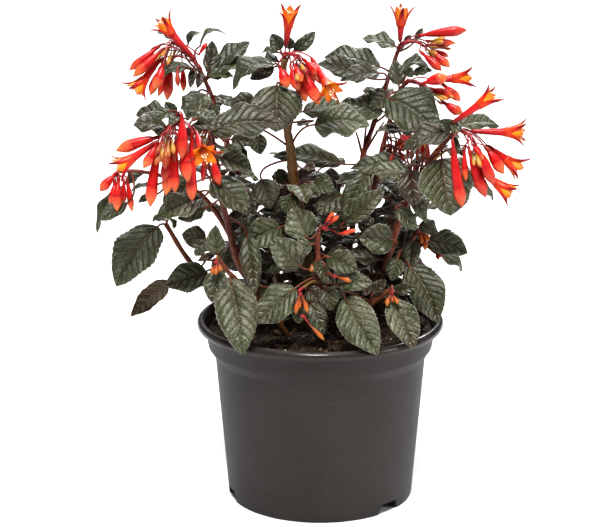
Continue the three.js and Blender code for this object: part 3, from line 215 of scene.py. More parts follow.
# Each leafy stem: how far it leans back for LEAN_HEIGHT of rise, its stem as [X, Z, y, radius] from
# the root up, and its leaves as [stem point the stalk leaves from, X Z y of the blade's base, X Z y
# of its tip, width, turn and lift in degrees of the way the upper face looks, arch]
LEAFY_STEMS = {
    "top_left": {"lean": 38, "stem": [
        [-14, 102, 8, 3.0], [-24, 140, 16, 2.8], [-42, 190, 24, 2.5], [-57, 230, 26, 2.2],
        [-66, 260, 22, 2.0], [-72, 279, 16, 1.9], [-77, 291, 12, 1.8], [-80, 298, 9, 1.7],
    ], "leaves": [
        [6, -84, 298.5, 3, -110.5, 291.5, -6, 18, -20, 72, 0.2],
        [6, -73.5, 295, 10, -71.5, 318, 14, 12, 25, 5, -0.06],
        [6, -70, 299, 15, -47, 317.5, 24, 17, -30, 50, 0.06],
        [6, -76, 293.5, 14, -38.5, 304.5, 18, 21, 0, 62, 0.1],
        [6.6, -88, 315, 22, -79.5, 323.5, 22, 6, 0, 55, 0.45],
        [6.6, -80, 314, 20, -62, 322.5, 22, 8, 0, 84, 0.35],
        [6.6, -97, 319, 20, -108, 324, 20, 7, 0, 55, 0.15],
        [5, -76, 281.5, 8, -90.5, 267, -4, 21, -20, 45, 0.12],
        [5.15, -81, 284, 18, -93.5, 271.5, 12, 12, -50, 30, 0.12],
        [4.9, -70, 280.5, 14, -57, 271, 8, 11, 25, 60, 0.12],
        [4.8, -71.5, 275, 14, -70, 266, 11, 9, 0, 20, 0.05],
        [3.4, -64, 247, 14, -57, 231, 8, 18, -5, 22, 0.08],
        [1.6, -44, 176, 20, -62, 168, 20, 18, -10, 35, 0.1],
        [5.2, -70, 276, 44, -74, 270, 74, 22, 190, 60, 0.1],
        [2.4, -38, 208, 34, -18, 198, 40, 22, 0, 38, 0.1],
    ]},
    "left": {"lean": 0, "stem": [
        [-20, 102, -14, 3.2], [-36, 135, -18, 3.2], [-54, 160, -22, 3.0], [-60, 178, -24, 2.8],
        [-64, 197, -26, 2.6], [-72, 225, -32, 2.2], [-84, 248, -38, 2.0], [-95, 263, -42, 1.8],
    ], "leaves": [
        [6.6, -103, 266.5, -34, -124, 268.5, -28, 16, -15, 66, 0.12],
        [6.3, -103, 259, -40, -125.5, 261, -46, 19, -10, 56, 0.12],
        [6.6, -101, 270, -50, -111, 265, -54, 10, -20, 35, 0.1],
        [6.6, -97, 268, -37, -104, 276.5, -36, 8, 10, 10, 0.05],
        [6.6, -90.5, 265.5, -43, -80, 267, -48, 8, 0, 50, 0.1],
        [6.5, -85.5, 260.5, -40, -66, 259.5, -48, 13, 5, 55, 0.1],
        [6.5, -83, 265, -34, -66.5, 263, -28, 14, 10, 65, 0.15],
        [5, -80, 211, -38, -111, 199, -54, 22, -20, 48, 0.06],
        [5, -85, 221, -26, -107, 208, -34, 22, -10, 30, 0.06],
        [4.5, -79, 203, -22, -97, 196, -22, 14, -10, 36, 0.08],
        [5, -74, 222, -38, -49, 200, -50, 21, 10, 45, 0.08],
        [6, -67, 238.5, -36, -46, 230.5, -40, 16, 0, 42, 0.1],
        [4, -50, 185, -36, -45, 142, -54, 14, -5, 12, 0.06],
        [6.6, -74, 257.5, -46, -26.5, 263, -44, 27, 0, 50, 0.06],
        [6, -84, 246, 0, -88, 242, 30, 22, 200, 60, 0.1], [4, -66, 204, 6, -72, 200, 36, 22, 200, 60, 0.1],
    ]},
    "left_side": {"lean": 20, "stem": [
        [-28, 102, 0, 2.6], [-44, 145, 4, 2.4], [-62, 185, 2, 2.2], [-80, 212, -4, 2.0],
        [-102, 224, -12, 1.7], [-122, 229, -18, 1.5], [-133, 229, -20, 1.4],
    ], "leaves": [
        [5.6, -133, 219, -14, -154, 187, -20, 15, -60, 22, 0.12],
        [4.7, -121, 227, -14, -132, 219, -12, 9, -20, 50, 0.15],
        [4, -113, 219, -10, -129, 215, -8, 8, 0, 82, 0.12],
        [4, -111, 213, -10, -124, 207.5, -10, 6, -10, 40, 0.2],
    ]},
    "low_left": {"lean": 30, "stem": [
        [-26, 102, 16, 2.9], [-50, 134, 18, 2.7], [-78, 156, 14, 2.4], [-91, 168, 11, 2.2],
        [-105, 192, 8, 2.0],
    ], "leaves": [
        [4, -110.5, 190.5, 2, -140.5, 148.5, -12, 31, -15, 25, 0.12],
        [4, -106, 195, 12, -114.5, 194, 14, 7, -10, 60, 0.3],
        [4, -102, 196, 14, -100, 188, 18, 6, 60, 20, 0.2],
        [2, -77, 157, -4, -106.5, 150, -10, 22, -5, 36, 0.08],
        [1.7, -104, 152, 14, -131, 127, 12, 15, 150, 30, 0.1],
        [2.3, -78, 182, 2, -94.5, 185, 2, 16, -5, 30, 0.06],
    ]},
    "front_left": {"lean": 0, "stem": [
        [-16, 102, -28, 2.7], [-36, 132, -38, 2.4], [-60, 155, -46, 2.1], [-69, 167, -48, 1.9],
    ], "leaves": [
        [3, -70, 170, -50, -71.5, 191, -52, 13, -5, 8, 0.04],
        [3, -81, 170, -44, -84, 177, -44, 8, -20, 30, 0.1],
        [2.6, -69, 160, -54, -75, 136.5, -62, 16, -10, 20, 0.08],
        [2, -62, 154, -54, -54, 100, -84, 28, 0, 24, 0.06],
    ]},
    "centre": {"lean": -14, "stem": [
        [-4, 102, 4, 3.4], [-7, 150, 4, 3.3], [-12, 190, 3, 3.1], [-17, 216, 2, 2.9], [-19, 232, 1, 3.0],
        [-20, 245, 0, 2.5], [-23, 262, 0, 2.1], [-25, 285, -2, 1.9], [-24, 306, -4, 1.7],
    ], "leaves": [
        [7, -29, 288, -12, -30, 256.5, -26, 34, 0, 34, 0.08],
        [5, -44, 255, -6, -40, 240.5, -8, 12, 0, 8, 0.05], [5, -4, 261, -10, 33, 262, -16, 28, 0, 52, 0.08],
        [5, -11.5, 270, 4, 20, 272, 10, 20, 0, 60, 0.1],
        [4.4, -40, 223.5, -14, -33, 204, -24, 19, -5, 26, 0.08],
        [7.6, -31, 302, -4, -58.5, 285, -6, 18, -15, 60, 0.28],
        [7.6, -28, 304, 8, -41, 301, 14, 12, 0, 60, 0.15],
        [7.6, -26.5, 311.5, 2, -32.5, 322.5, 6, 10, -5, 5, 0.02],
        [7.6, -28, 310, 0, -39, 310.5, 2, 7, -10, 60, 0.2],
        [7.6, -20.5, 312, 6, -20, 320, 8, 7, 5, 10, 0.02],
        [7.6, -17.5, 311, 0, -3, 324, 4, 9, 15, 15, 0.04],
        [7, -44, 279, 16, -60.5, 275, 24, 12, 0, 25, 0.08],
        [2, -27, 190, -18, -50, 178, -30, 22, -5, 25, 0.08],
        [3, -24, 222, 10, -28.5, 231, 14, 9, 0, 10, 0.05], [3, -6, 221, -14, 10, 216, -20, 15, 10, 40, 0.1],
        [3, -18, 212, -18, -24, 200, -26, 14, -10, 30, 0.08],
        [2.6, -26, 208, 6, -44, 220, 8, 20, -5, 30, 0.1],
        [1.6, -20, 172, -14, -42, 160, -18, 20, -10, 38, 0.1],
        [1.5, 4, 170, -12, 24, 163, -16, 20, 10, 38, 0.1],
        [6, -24, 268, 22, -26, 262, 58, 24, 180, 60, 0.1],
        [3.2, -22, 226, 24, -24, 214, 56, 22, 180, 60, 0.1],
    ]},
    "centre_right": {"lean": 40, "stem": [
        [10, 102, 12, 3.1], [17, 155, 18, 2.9], [24, 205, 22, 2.6], [29, 240, 22, 2.4], [36, 262, 20, 2.1],
        [44, 288, 16, 1.9], [50, 306, 12, 1.7], [52, 312, 10, 1.6],
    ], "leaves": [
        [4, 42, 270, 10, 13.5, 277, 4, 21, 0, 50, 0.08], [4.5, 46, 282, 8, 33, 272, 4, 19, -10, 42, 0.06],
        [5.4, 40, 300, 12, 3, 309, 16, 24, 0, 60, 0.08], [5.2, 31, 293, 3, -1, 303.5, -2, 19, 0, 46, 0.06],
        [5, 39.5, 296, 0, 13.5, 292.5, -8, 16, 0, 56, 0.1],
        [6.6, 50, 314, 12, 28, 320, 14, 15, 0, 60, 0.06], [6.6, 56, 315, 16, 60, 322, 18, 5, 0, 30, 0.1],
        [6.6, 63, 318, 16, 68, 326.5, 18, 5, 0, 20, 0.05], [6, 54, 300, 8, 74, 297, 10, 16, 0, 70, 0.3],
        [6, 62, 296, 4, 74.5, 298, 0, 8, 0, 42, 0.08], [2, 29, 200, 14, 41, 190, 10, 13, 5, 35, 0.1],
        [2.8, 14, 234, 16, -32, 240, 12, 18, 0, 50, 0.1], [2, 10, 212, 10, -12, 227, 6, 20, 0, 25, 0.08],
        [1.6, 30, 184, 16, 52, 178, 14, 20, 10, 35, 0.1], [5, 40, 284, 44, 38, 278, 76, 22, 175, 60, 0.1],
        [3, 38, 236, 44, 40, 228, 74, 20, 175, 60, 0.1], [2.2, 14, 220, 32, -8, 208, 40, 22, 0, 38, 0.1],
        [1.3, 4, 160, 24, -18, 166, 28, 22, 0, 38, 0.1],
    ]},
    "right_middle": {"lean": 8, "stem": [
        [18, 102, 0, 2.9], [24, 160, 0, 2.7], [34, 205, -2, 2.4], [42, 245, -6, 2.1], [49, 272, -11, 1.9],
        [53, 284, -13, 1.7], [57, 289, -14, 1.6],
    ], "leaves": [
        [5, 52.5, 288, -14, 50, 305, -8, 12, 0, 8, 0.04],
        [5.6, 57, 294, -20, 61, 300, -22, 8, 10, 20, 0.05],
        [5, 46, 279, -20, 79, 256, -36, 35, 0, 38, 0.08], [3.6, 62, 256, -20, 37, 257, -26, 13, 0, 66, 0.1],
        [3, 56, 234, -16, 20.5, 232, -20, 18, 0, 48, 0.08],
        [2.7, 33, 229, -22, 16, 196, -36, 17, -15, 20, 0.06],
        [1.8, 16, 193, -32, 43.5, 216.5, -38, 16, -10, 28, 0.06],
        [2, 15, 213, -24, -2, 200.5, -34, 17, 0, 22, 0.05], [2.2, 44, 210, 8, 60, 200, 14, 18, 10, 30, 0.1],
        [1.7, 18, 184, 18, 0, 190, 24, 20, 0, 38, 0.1],
    ]},
    "right": {"lean": 0, "stem": [
        [20, 102, -14, 3.2], [32, 130, -18, 3.1], [41, 152, -20, 3.0], [48, 174, -23, 2.8],
        [58, 205, -28, 2.4], [72, 232, -34, 2.2], [84, 249, -38, 2.0], [91, 256, -40, 1.8],
    ], "leaves": [
        [6, 82, 238, -46, 89, 198, -58, 38, 10, 20, 0.06],
        [6.6, 87, 257, -46, 55, 245, -52, 19, -5, 50, 0.12],
        [6.6, 88, 257, -48, 80, 264, -50, 10, -5, 40, 0.1],
        [6.6, 93, 261, -32, 121, 261, -20, 17, 5, 62, 0.08],
        [5, 61, 230, -40, 64, 205, -46, 19, 0, 24, 0.06],
        [4.5, 62, 214, -34, 73, 193, -38, 10, 10, 20, 0.06],
        [4, 52, 203, -34, 66, 188, -38, 11, 10, 28, 0.08],
        [6.6, 101, 222, -28, 119, 209.5, -22, 12, 10, 55, 0.1],
        [3, 50, 181, -32, 27, 183, -40, 21, 0, 28, 0.06], [6, 84, 244, -6, 88, 240, 24, 22, 150, 60, 0.1],
        [4, 62, 210, 4, 70, 204, 36, 22, 160, 60, 0.1], [2.6, 54, 174, 8, 72, 184, 16, 18, 10, 35, 0.1],
    ]},
    "low_right": {"lean": 10, "stem": [
        [28, 102, 8, 2.8], [44, 145, 6, 2.5], [56, 168, 0, 2.2], [65, 186, -6, 1.9],
    ], "leaves": [
        [3, 73, 181, -12, 101, 173, -18, 19, 0, 42, 0.06], [3, 67, 191, -4, 81, 186, -4, 13, 0, 40, 0.12],
        [2.5, 63, 181, -18, 62, 162, -26, 13, -5, 14, 0.05],
        [2, 61, 163, -28, 81.5, 122.5, -48, 26, 12, 28, 0.08],
        [2, 53, 168, -30, 49, 152, -38, 12, -10, 20, 0.06], [3, 73, 178, 8, 99, 160, 20, 20, 20, 60, 0.1],
    ]},
    "front_right": {"lean": 0, "stem": [
        [14, 102, -30, 2.7], [30, 130, -38, 2.4], [43, 142, -44, 2.1], [49, 146, -46, 1.9],
    ], "leaves": [
        [3, 49, 138.5, -54, 65, 103.5, -70, 21, 5, 24, 0.06],
        [1.4, 17, 140, -58, 40, 99.5, -82, 26, 0, 24, 0.06],
        [3, 51, 144, -42, 64.5, 147.5, -46, 9, 5, 35, 0.1],
        [1.4, 36, 142.5, -44, 45, 153, -42, 9, -5, 25, 0.05],
    ]},
    "front": {"lean": 0, "stem": [
        [0, 102, -36, 2.8], [1, 130, -42, 2.5], [0, 156, -46, 2.2], [-2, 175, -44, 2.0],
        [-1, 187, -42, 1.7],
    ], "leaves": [
        [2, -17, 147, -58, -46, 122, -68, 23, -5, 34, 0.06],
        [2, -9, 146, -56, 1, 138, -60, 11, 0, 28, 0.08], [2, 5, 147, -56, 8, 130.5, -62, 13, 0, 18, 0.04],
        [2, 12, 149.5, -54, 36, 151, -58, 14, 0, 34, 0.06],
        [2.4, 6, 169, -52, 25.5, 160, -60, 17, 0, 38, 0.1],
        [2.3, -13, 162, -52, -34, 182, -48, 20, -10, 30, 0.06],
        [3, -6, 178, -50, -19, 172, -48, 13, 0, 36, 0.1],
        [4, -9, 183, -46, -19, 204, -42, 22, -5, 14, 0.03],
        [2.2, 2, 157, -58, 10.5, 151, -62, 9, 5, 25, 0.1],
        [1.6, -7, 137, -60, 2.5, 113, -66, 13, 0, 18, 0.05],
        [1.6, -14, 135, -62, -15.5, 121, -66, 10, 0, 15, 0.04],
        [2.2, 3, 163, -55, 4.5, 150, -60, 11, 0, 15, 0.05],
    ]},
    "back_left": {"lean": 0, "stem": [
        [-14, 102, 26, 3.0], [-34, 150, 42, 2.7], [-54, 192, 56, 2.4], [-66, 222, 62, 2.1],
        [-71, 242, 60, 1.9], [-74, 262, 54, 1.7],
    ], "leaves": [
        [1, -46, 170, 54, -74, 156, 82, 25, 205, 52, 0.12],
        [1, -30, 176, 62, -34, 172, 102, 25, 180, 60, 0.12],
        [2, -64, 196, 62, -100, 210, 74, 24, 215, 60, 0.1],
        [2, -52, 192, 72, -46, 186, 110, 24, 170, 60, 0.12],
        [3, -77, 226, 66, -102, 234, 86, 23, 200, 62, 0.1],
        [3, -58, 214, 76, -52, 208, 114, 22, 180, 62, 0.12],
        [3.7, -66, 237, 70, -50, 241, 82, 14, 0, 70, 0.1],
        [4.4, -80, 246, 66, -98, 252, 84, 22, 200, 62, 0.1],
        [4.4, -66, 244, 70, -60, 240, 104, 22, 175, 60, 0.1],
    ]},
    "back": {"lean": 0, "stem": [
        [0, 102, 30, 3.0], [-4, 150, 46, 2.7], [-8, 190, 60, 2.3], [-7, 220, 64, 1.8],
    ], "leaves": [
        [1.3, 4, 184, 68, 8, 178, 108, 26, 180, 60, 0.12],
        [1.3, -14, 188, 62, -34, 198, 84, 22, 210, 60, 0.1],
        [1.3, 6, 188, 60, 30, 198, 78, 22, 150, 60, 0.1],
        [2.2, -14, 212, 72, -26, 216, 108, 22, 190, 60, 0.12],
        [2.2, 0, 214, 74, 14, 218, 108, 22, 170, 60, 0.12],
        [3, -14, 232, 72, -34, 243, 84, 15, 190, 70, 0.1], [3, 2, 232, 70, 16, 236, 92, 18, 170, 74, 0.08],
    ]},
    "back_right": {"lean": 0, "stem": [
        [18, 102, 24, 3.0], [36, 150, 38, 2.7], [52, 190, 52, 2.4], [62, 222, 58, 2.1], [66, 242, 56, 1.9],
        [67, 262, 50, 1.7],
    ], "leaves": [
        [1, 48, 168, 50, 74, 154, 78, 25, 155, 52, 0.12], [1, 34, 178, 58, 36, 172, 98, 24, 180, 60, 0.12],
        [2, 62, 196, 56, 92, 208, 68, 24, 145, 60, 0.1], [2, 50, 192, 68, 48, 186, 106, 24, 190, 60, 0.12],
        [3, 74, 228, 62, 98, 234, 82, 22, 160, 62, 0.1], [3, 54, 214, 74, 50, 208, 112, 22, 180, 62, 0.12],
        [4.4, 74, 248, 60, 94, 252, 76, 22, 150, 62, 0.1],
        [4.4, 59, 240, 68, 52, 232, 102, 22, 190, 60, 0.1],
    ]},
    "back_low": {"lean": 0, "stem": [
        [4, 110, 46, 2.6], [6, 140, 60, 2.3], [6, 166, 72, 1.9],
    ], "leaves": [
        [2, -6, 164, 84, -20, 152, 122, 26, 190, 50, 0.12],
        [2, 18, 164, 84, 32, 152, 120, 26, 170, 50, 0.12],
        [1.6, -20, 156, 74, -52, 140, 94, 25, 205, 50, 0.1],
        [1.6, 32, 156, 72, 60, 140, 90, 25, 155, 50, 0.1],
    ]},
}

# Each flower spray: the leafy stem that it ends, its buds as [X Z y of the bud's base, X Z y of its
# tip, width] and its open flowers as [X Z y of the tube's base, X Z y of its mouth, turn of the
# sepals in degrees, flare]
FLOWER_SPRAYS = {
    "top_left": {"axis": [[-84, 304, 11], [-92, 313, 11], [-99, 317, 9]], "buds": [
        [-106, 315, 4, -127.5, 298, 4, 6], [-104, 313, -2, -125, 293.5, -4, 6.5],
        [-103, 311, 8, -117, 296.5, 10, 4.5], [-106, 301, 8, -113.5, 281, 8, 6.5],
        [-102, 301, 14, -108.5, 280, 14, 5.5], [-99, 303, 5, -102.5, 277.5, 5, 7],
        [-92, 302, 14, -91.5, 283.5, 14, 5.5], [-97, 308, 12, -104, 299, 14, 4.5],
        [-81, 308, 12, -75, 316.5, 12, 4],
    ], "flowers": [[-83.5, 305, 4, -100, 324, -2, 20, 30], [-106, 306, 3, -118.5, 290.5, 2, 40, 42]]},
    "left": {"axis": [[-98, 263, -50], [-102, 258, -56], [-103, 252, -60]], "buds": [
        [-93, 269, -62, -93.5, 237, -66, 7.5], [-86, 257, -54, -87, 208, -56, 7.5],
        [-97, 252, -56, -98.5, 214, -60, 6.5], [-91, 250, -48, -92, 224, -50, 6.5],
        [-108, 248, -52, -115.5, 204, -58, 8], [-103.5, 249, -60, -106, 221, -64, 6],
        [-101, 251, -64, -104, 232, -68, 5], [-105, 252, -54, -113.5, 237, -58, 5],
        [-107, 253, -47, -138, 243, -46, 8], [-109, 250, -60, -119.5, 231, -64, 6.5],
        [-79, 240, -46, -79.5, 221.5, -46, 4.5], [-73, 240, -46, -68, 219, -46, 6],
    ], "flowers": [[-109, 250, -52, -129, 236.5, -54, 45, 40], [-84, 257, -50, -79.5, 243.5, -70, 10, 62]]},
    "left_side": {"axis": [[-137, 228, -24], [-137, 223, -26]], "buds": [
        [-137, 229, -26, -149.5, 215, -28, 6.5], [-139, 224, -26, -142, 204, -28, 6],
        [-136, 226, -33, -138, 200.5, -36, 6.5], [-133, 224, -27, -133.5, 206, -28, 5],
        [-131, 225, -22, -128, 200.5, -22, 5.5],
    ], "flowers": []},
    "centre": {"axis": [[-21, 309, -9], [-16, 308, -13], [-13, 304, -16]], "buds": [
        [-28, 302, -14, -21.5, 286, -18, 8], [-19, 297, -10, -9.5, 276.5, -14, 8],
        [-14, 299, -18, -0.5, 274.5, -24, 8], [-13, 303, -12, -4.5, 287, -18, 6.5],
        [-12, 306, -20, 0.5, 294, -24, 6.5], [-18, 303, -22, -12, 290, -28, 6],
    ], "flowers": [[-23, 313.5, -6, -21, 329.5, -12, 30, 28], [-6, 306.5, -14, 4.5, 288.5, -34, 45, 55]]},
    "centre_right": {"axis": [[57, 317, 8], [64, 317, 7], [69, 314, 7]], "buds": [
        [65, 321, 4, 97.5, 325, 0, 7.5], [70, 317.5, 6, 90, 316, 4, 5.5], [72, 314, 10, 84.5, 313.5, 10, 4],
        [74, 312, 14, 85.5, 307, 14, 4.5], [72, 311, 4, 86.5, 300, 2, 6], [66, 311, -2, 81, 297.5, -6, 6],
    ], "flowers": [[53, 317, 4, 53.5, 330.5, 0, 0, 28]]},
    "right_middle": {"axis": [[63, 290, -16], [69, 288, -17], [74, 284, -17]], "buds": [
        [67, 288.5, -24, 85.5, 293.5, -28, 8], [72, 286, -18, 89.5, 279.5, -20, 6.5],
        [80, 290, -12, 94, 277, -10, 6], [81, 277, -20, 95.5, 268.5, -22, 7],
        [66, 288, -9, 74, 281, -8, 4.5],
    ], "flowers": [[74, 291.5, -14, 91, 292.5, -14, 40, 34]]},
    "right": {"axis": [[95, 257, -44], [100, 254, -48], [104, 249, -52]], "buds": [
        [89, 251, -60, 96.5, 203.5, -64, 8], [110, 247, -48, 124, 227, -50, 7.5],
        [100, 244, -58, 112.5, 210.5, -62, 8], [106, 246, -56, 115, 225, -58, 6],
        [102, 248, -62, 110.5, 236, -66, 4.5], [97, 246, -52, 98.5, 222, -57, 5.5],
    ], "flowers": [
        [88.5, 262, -50, 108.5, 276, -52, 30, 30], [101, 256.5, -46, 127, 256, -50, 45, 32],
        [112, 247, -40, 127, 236, -40, 20, 36], [104, 233, -50, 121.5, 219, -54, 45, 34],
    ]},
    "back_left": {"axis": [[-74.5, 268, 55], [-74, 268, 62], [-73, 262, 68]], "buds": [
        [-68, 262, 70, -62, 248, 82, 6.5], [-73, 260, 70, -74, 236, 78, 7.5],
        [-68, 264, 62, -60, 252, 66, 6.5], [-78, 266, 48, -90, 254, 40, 6.5],
        [-80, 268, 70, -86, 264, 84, 5],
    ], "flowers": [[-74, 268, 68, -74, 262, 90, 45, 36]]},
    "back_right": {"axis": [[68, 268, 52], [68, 268, 59], [67, 262, 65]], "buds": [
        [61, 260, 68, 57, 246, 80, 6.5], [69, 258, 71, 71, 234, 82, 7.5], [61, 260, 54, 52, 244, 52, 6.5],
        [74, 266, 46, 85, 254, 36, 6.5], [75, 267, 68, 81, 262, 82, 5],
    ], "flowers": [[69, 266, 66, 69, 260, 88, 45, 36]]},
}

# Each spray of young buds: the leafy stem and its point that a twig leaves from, the twig's end, and
# its buds as in the flower sprays
BUD_SPRAYS = {
    "front_top": {"stem": "front", "from": 4, "twig": [1, 190, -44], "buds": [
        [3.5, 193, -48, 9.5, 200.5, -52, 4.5], [6, 192, -50, 12.5, 198, -54, 4.5],
        [12, 185, -42, 25, 188, -44, 4.5],
    ]},
    "front_low": {"stem": "front", "from": 1.8, "twig": [-12, 147, -62], "buds": [
        [-14.5, 141, -66, -17, 128, -70, 5], [-12.5, 141, -66, -8.5, 128.5, -70, 5],
    ]},
    "front_foot": {"stem": "front", "from": 0.8, "twig": [-11, 127, -66], "buds": [
        [-8, 121, -72, 3, 109, -77, 4.5],
    ]},
    "front_side": {"stem": "front", "from": 2, "twig": [8, 156, -64], "buds": [
        [12, 154.5, -66, 21.5, 151.5, -70, 4.5],
    ]},
    "low_left": {"stem": "front_left", "from": 3, "twig": [-71, 167, -56], "buds": [
        [-72, 163, -60, -75, 156.5, -64, 4.5], [-71, 164, -62, -71.5, 156, -66, 4.5],
        [-70, 165, -60, -68, 158.5, -63, 4],
    ]},
    "low_right": {"stem": "low_right", "from": 3, "twig": [67, 187, -14], "buds": [
        [68, 186, -20, 69.5, 178, -24, 4.5], [70, 186, -20, 74.5, 180, -24, 4.5],
        [71, 182, -22, 72, 173.5, -25, 4.5],
    ]},
    "right_middle": {"stem": "right_middle", "from": 3, "twig": [51, 245, -15], "buds": [
        [50, 243, -18, 47, 236, -22, 4.5], [53, 243, -18, 57, 236, -22, 4.5],
        [52, 247, -18, 57, 250, -22, 4.5],
    ]},
    "front_right": {"stem": "front_right", "from": 3, "twig": [49.5, 146, -54], "buds": [
        [48, 142, -58, 45.5, 133.5, -62, 4.5], [50, 142, -58, 54, 135, -62, 4.5],
    ]},
}


# Places and curves

def seen(X, Z, y):
    """The true point, in millimetres, of a place given on the upright plane through the pot's axis."""
    scale = (EYE_DISTANCE + y) / EYE_DISTANCE
    return Vector((X * scale, y, EYE_HEIGHT + (Z - EYE_HEIGHT) * scale))


def leaned(rows, places, lean):
    """The rows of a shoot leaned back with the height: places tells where in a row each X, Z, y starts."""
    result = []
    for row in rows:
        row = list(row)
        for start in places:
            row[start + 2] += lean * (row[start + 1] - SOIL_LEVEL) / LEAN_HEIGHT
        result.append(row)
    return result


def smooth_point(points, u):
    """A point of the smooth curve through points, at u from 0 to 1."""
    last = len(points) - 1
    place = max(0.0, min(1.0, u)) * last
    i = min(int(place), last - 1)
    w = place - i
    p1, p2 = points[i], points[i + 1]
    p0 = points[i - 1] if i > 0 else 2 * p1 - p2
    p3 = points[i + 2] if i + 2 <= last else 2 * p2 - p1
    t1, t2 = 0.5 * (p2 - p0), 0.5 * (p3 - p1)
    a = 2 * p1 - 2 * p2 + t1 + t2
    b = -3 * p1 + 3 * p2 - 2 * t1 - t2
    return a * w**3 + b * w**2 + t1 * w + p1


def stem_places(stem):
    return [seen(X, Z, y) for X, Z, y, _ in stem]


def stem_point(stem, position):
    return smooth_point(stem_places(stem), position / (len(stem) - 1))


def bend(start, control, end, t):
    return (1 - t) ** 2 * start + 2 * t * (1 - t) * control + t**2 * end


def square_to(way, axis):
    """way without its share along axis, at length one."""
    result = way - way.dot(axis) * axis
    if result.length < 0.05:
        result = Vector((1, 0, 0)) - axis.x * axis
    return result.normalized()


def turned(way, axis, degrees):
    return Matrix.Rotation(math.radians(degrees), 3, axis) @ way


def steps(count):
    return [i / count for i in range(count + 1)]


def mixed(values, u):
    """The value at u from 0 to 1 along a list, joined by straight lines."""
    place = max(0.0, min(1.0, u)) * (len(values) - 1)
    i = min(int(place), len(values) - 2)
    return values[i] + (values[i + 1] - values[i]) * (place - i)


# Meshes

def rim_of(grid):
    """The outer corners of a grid, once round."""
    sides = [row[0] for row in grid] + grid[-1][1:] + [row[-1] for row in reversed(grid[:-1])]
    return sides + list(reversed(grid[0][1:-1]))


class Shape:
    """A mesh in the making, in millimetres. Each corner holds a mark (across, along, vein) and a tone,
    which the materials read, and each face the number of its material."""

    def __init__(self):
        self.points = []
        self.marks = []
        self.tones = []
        self.faces = []
        self.kinds = []

    def corner(self, point, mark, tone):
        self.points.append(point)
        self.marks.append(mark)
        self.tones.append(tone)
        return len(self.points) - 1

    def face(self, corners, kind):
        self.faces.append(corners)
        self.kinds.append(kind)

    def band(self, low, high, kind, closed=True):
        """Faces between two rows of corners of equal count."""
        count = len(low)
        for k in range(count if closed else count - 1):
            n = (k + 1) % count
            self.face((low[k], low[n], high[n], high[k]), kind)

    def tube(self, path, radii, sides, kind, tone, marks=None, ridges=0.0, open_end=False):
        """A round body along a path. marks gives the along value of each ring, and ridges the share
        by which four seams stand in from the radius."""
        side = square_to(Vector((0, -1, 0)), (path[1] - path[0]).normalized())
        rings = []
        for i, centre in enumerate(path):
            ahead = path[min(i + 1, len(path) - 1)] - path[max(i - 1, 0)]
            along = ahead.normalized()
            side = square_to(side, along)
            across = along.cross(side)
            place = marks[i] if marks else i / (len(path) - 1)
            ring = []
            for k in range(sides):
                angle = 2 * math.pi * k / sides
                radius = radii[i] * (1 - ridges * abs(math.cos(2 * angle)) ** 6)
                point = centre + radius * (math.cos(angle) * side + math.sin(angle) * across)
                ring.append(self.corner(point, (2 * k / sides - 1, place, 0), tone))
            rings.append(ring)
        for low, high in zip(rings, rings[1:]):
            self.band(low, high, kind)
        self.face(tuple(reversed(rings[0])), kind)
        if not open_end:
            self.face(tuple(rings[-1]), kind)
        return rings

    def join(self, rings, kind):
        """Faces between rings of equal count, of which the first and last may be one corner."""
        for low, high in zip(rings, rings[1:]):
            count = max(len(low), len(high))
            for k in range(count):
                n = (k + 1) % count
                if len(low) == 1:
                    self.face((low[0], high[n], high[k]), kind)
                elif len(high) == 1:
                    self.face((low[k], low[n], high[0]), kind)
                else:
                    self.face((low[k], low[n], high[n], high[k]), kind)

    def blade(self, upper, lower, marks, tone, kinds):
        """A thin leaf or petal from two like grids of points, its rim closed."""
        top, under = (
            [[self.corner(point, mark, tone) for point, mark in zip(row, mark_row)]
             for row, mark_row in zip(points, marks)]
            for points in (upper, lower)
        )
        for low, high in zip(top, top[1:]):
            self.band(low, high, kinds[0], closed=False)
        for low, high in zip(under, under[1:]):
            self.band(high, low, kinds[1], closed=False)
        self.band(rim_of(top), rim_of(under), kinds[1])

    def piece(self, name, materials, sharp=None):
        """The Blender object of the shape, riding on the one body."""
        mesh = bpy.data.meshes.new(name)
        mesh.from_pydata([point * MM for point in self.points], [], self.faces)
        mesh.polygons.foreach_set("material_index", self.kinds)
        mesh.polygons.foreach_set("use_smooth", [True] * len(self.faces))
        mark = mesh.attributes.new("mark", "FLOAT_VECTOR", "POINT")
        mark.data.foreach_set("vector", [value for row in self.marks for value in row])
        tone = mesh.attributes.new("tone", "FLOAT", "POINT")
        tone.data.foreach_set("value", self.tones)
        for material in materials:
            mesh.materials.append(material)
        if sharp:
            mesh.set_sharp_from_angle(angle=math.radians(sharp))
        mesh.update()
        piece = bpy.data.objects.new(name, mesh)
        bpy.context.scene.collection.objects.link(piece)
        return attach(piece, "root")


# Leaves and stems

LEAF_KINDS = {"upper": 0, "under": 1, "stem": 2}


def blade_half_width(t):
    """The half width of a blade along it, 1 at its widest."""
    return 2.72 * t**0.62 * (1 - t) ** 0.85 if 0 < t < 1 else 0.0


def vein_phase(u, t, slant, pairs):
    """Whole numbers fall on the side veins, which lean towards the tip."""
    return pairs * (t - slant * abs(u) * blade_half_width(t) - 0.05 * abs(u) ** 3)


def leaf_rows(width):
    """How many columns across and rows along the grid of a blade has."""
    if width <= LEAF_WIDTHS[0]:
        return 8, 12
    return (12, 22) if width <= LEAF_WIDTHS[1] else (20, 36)


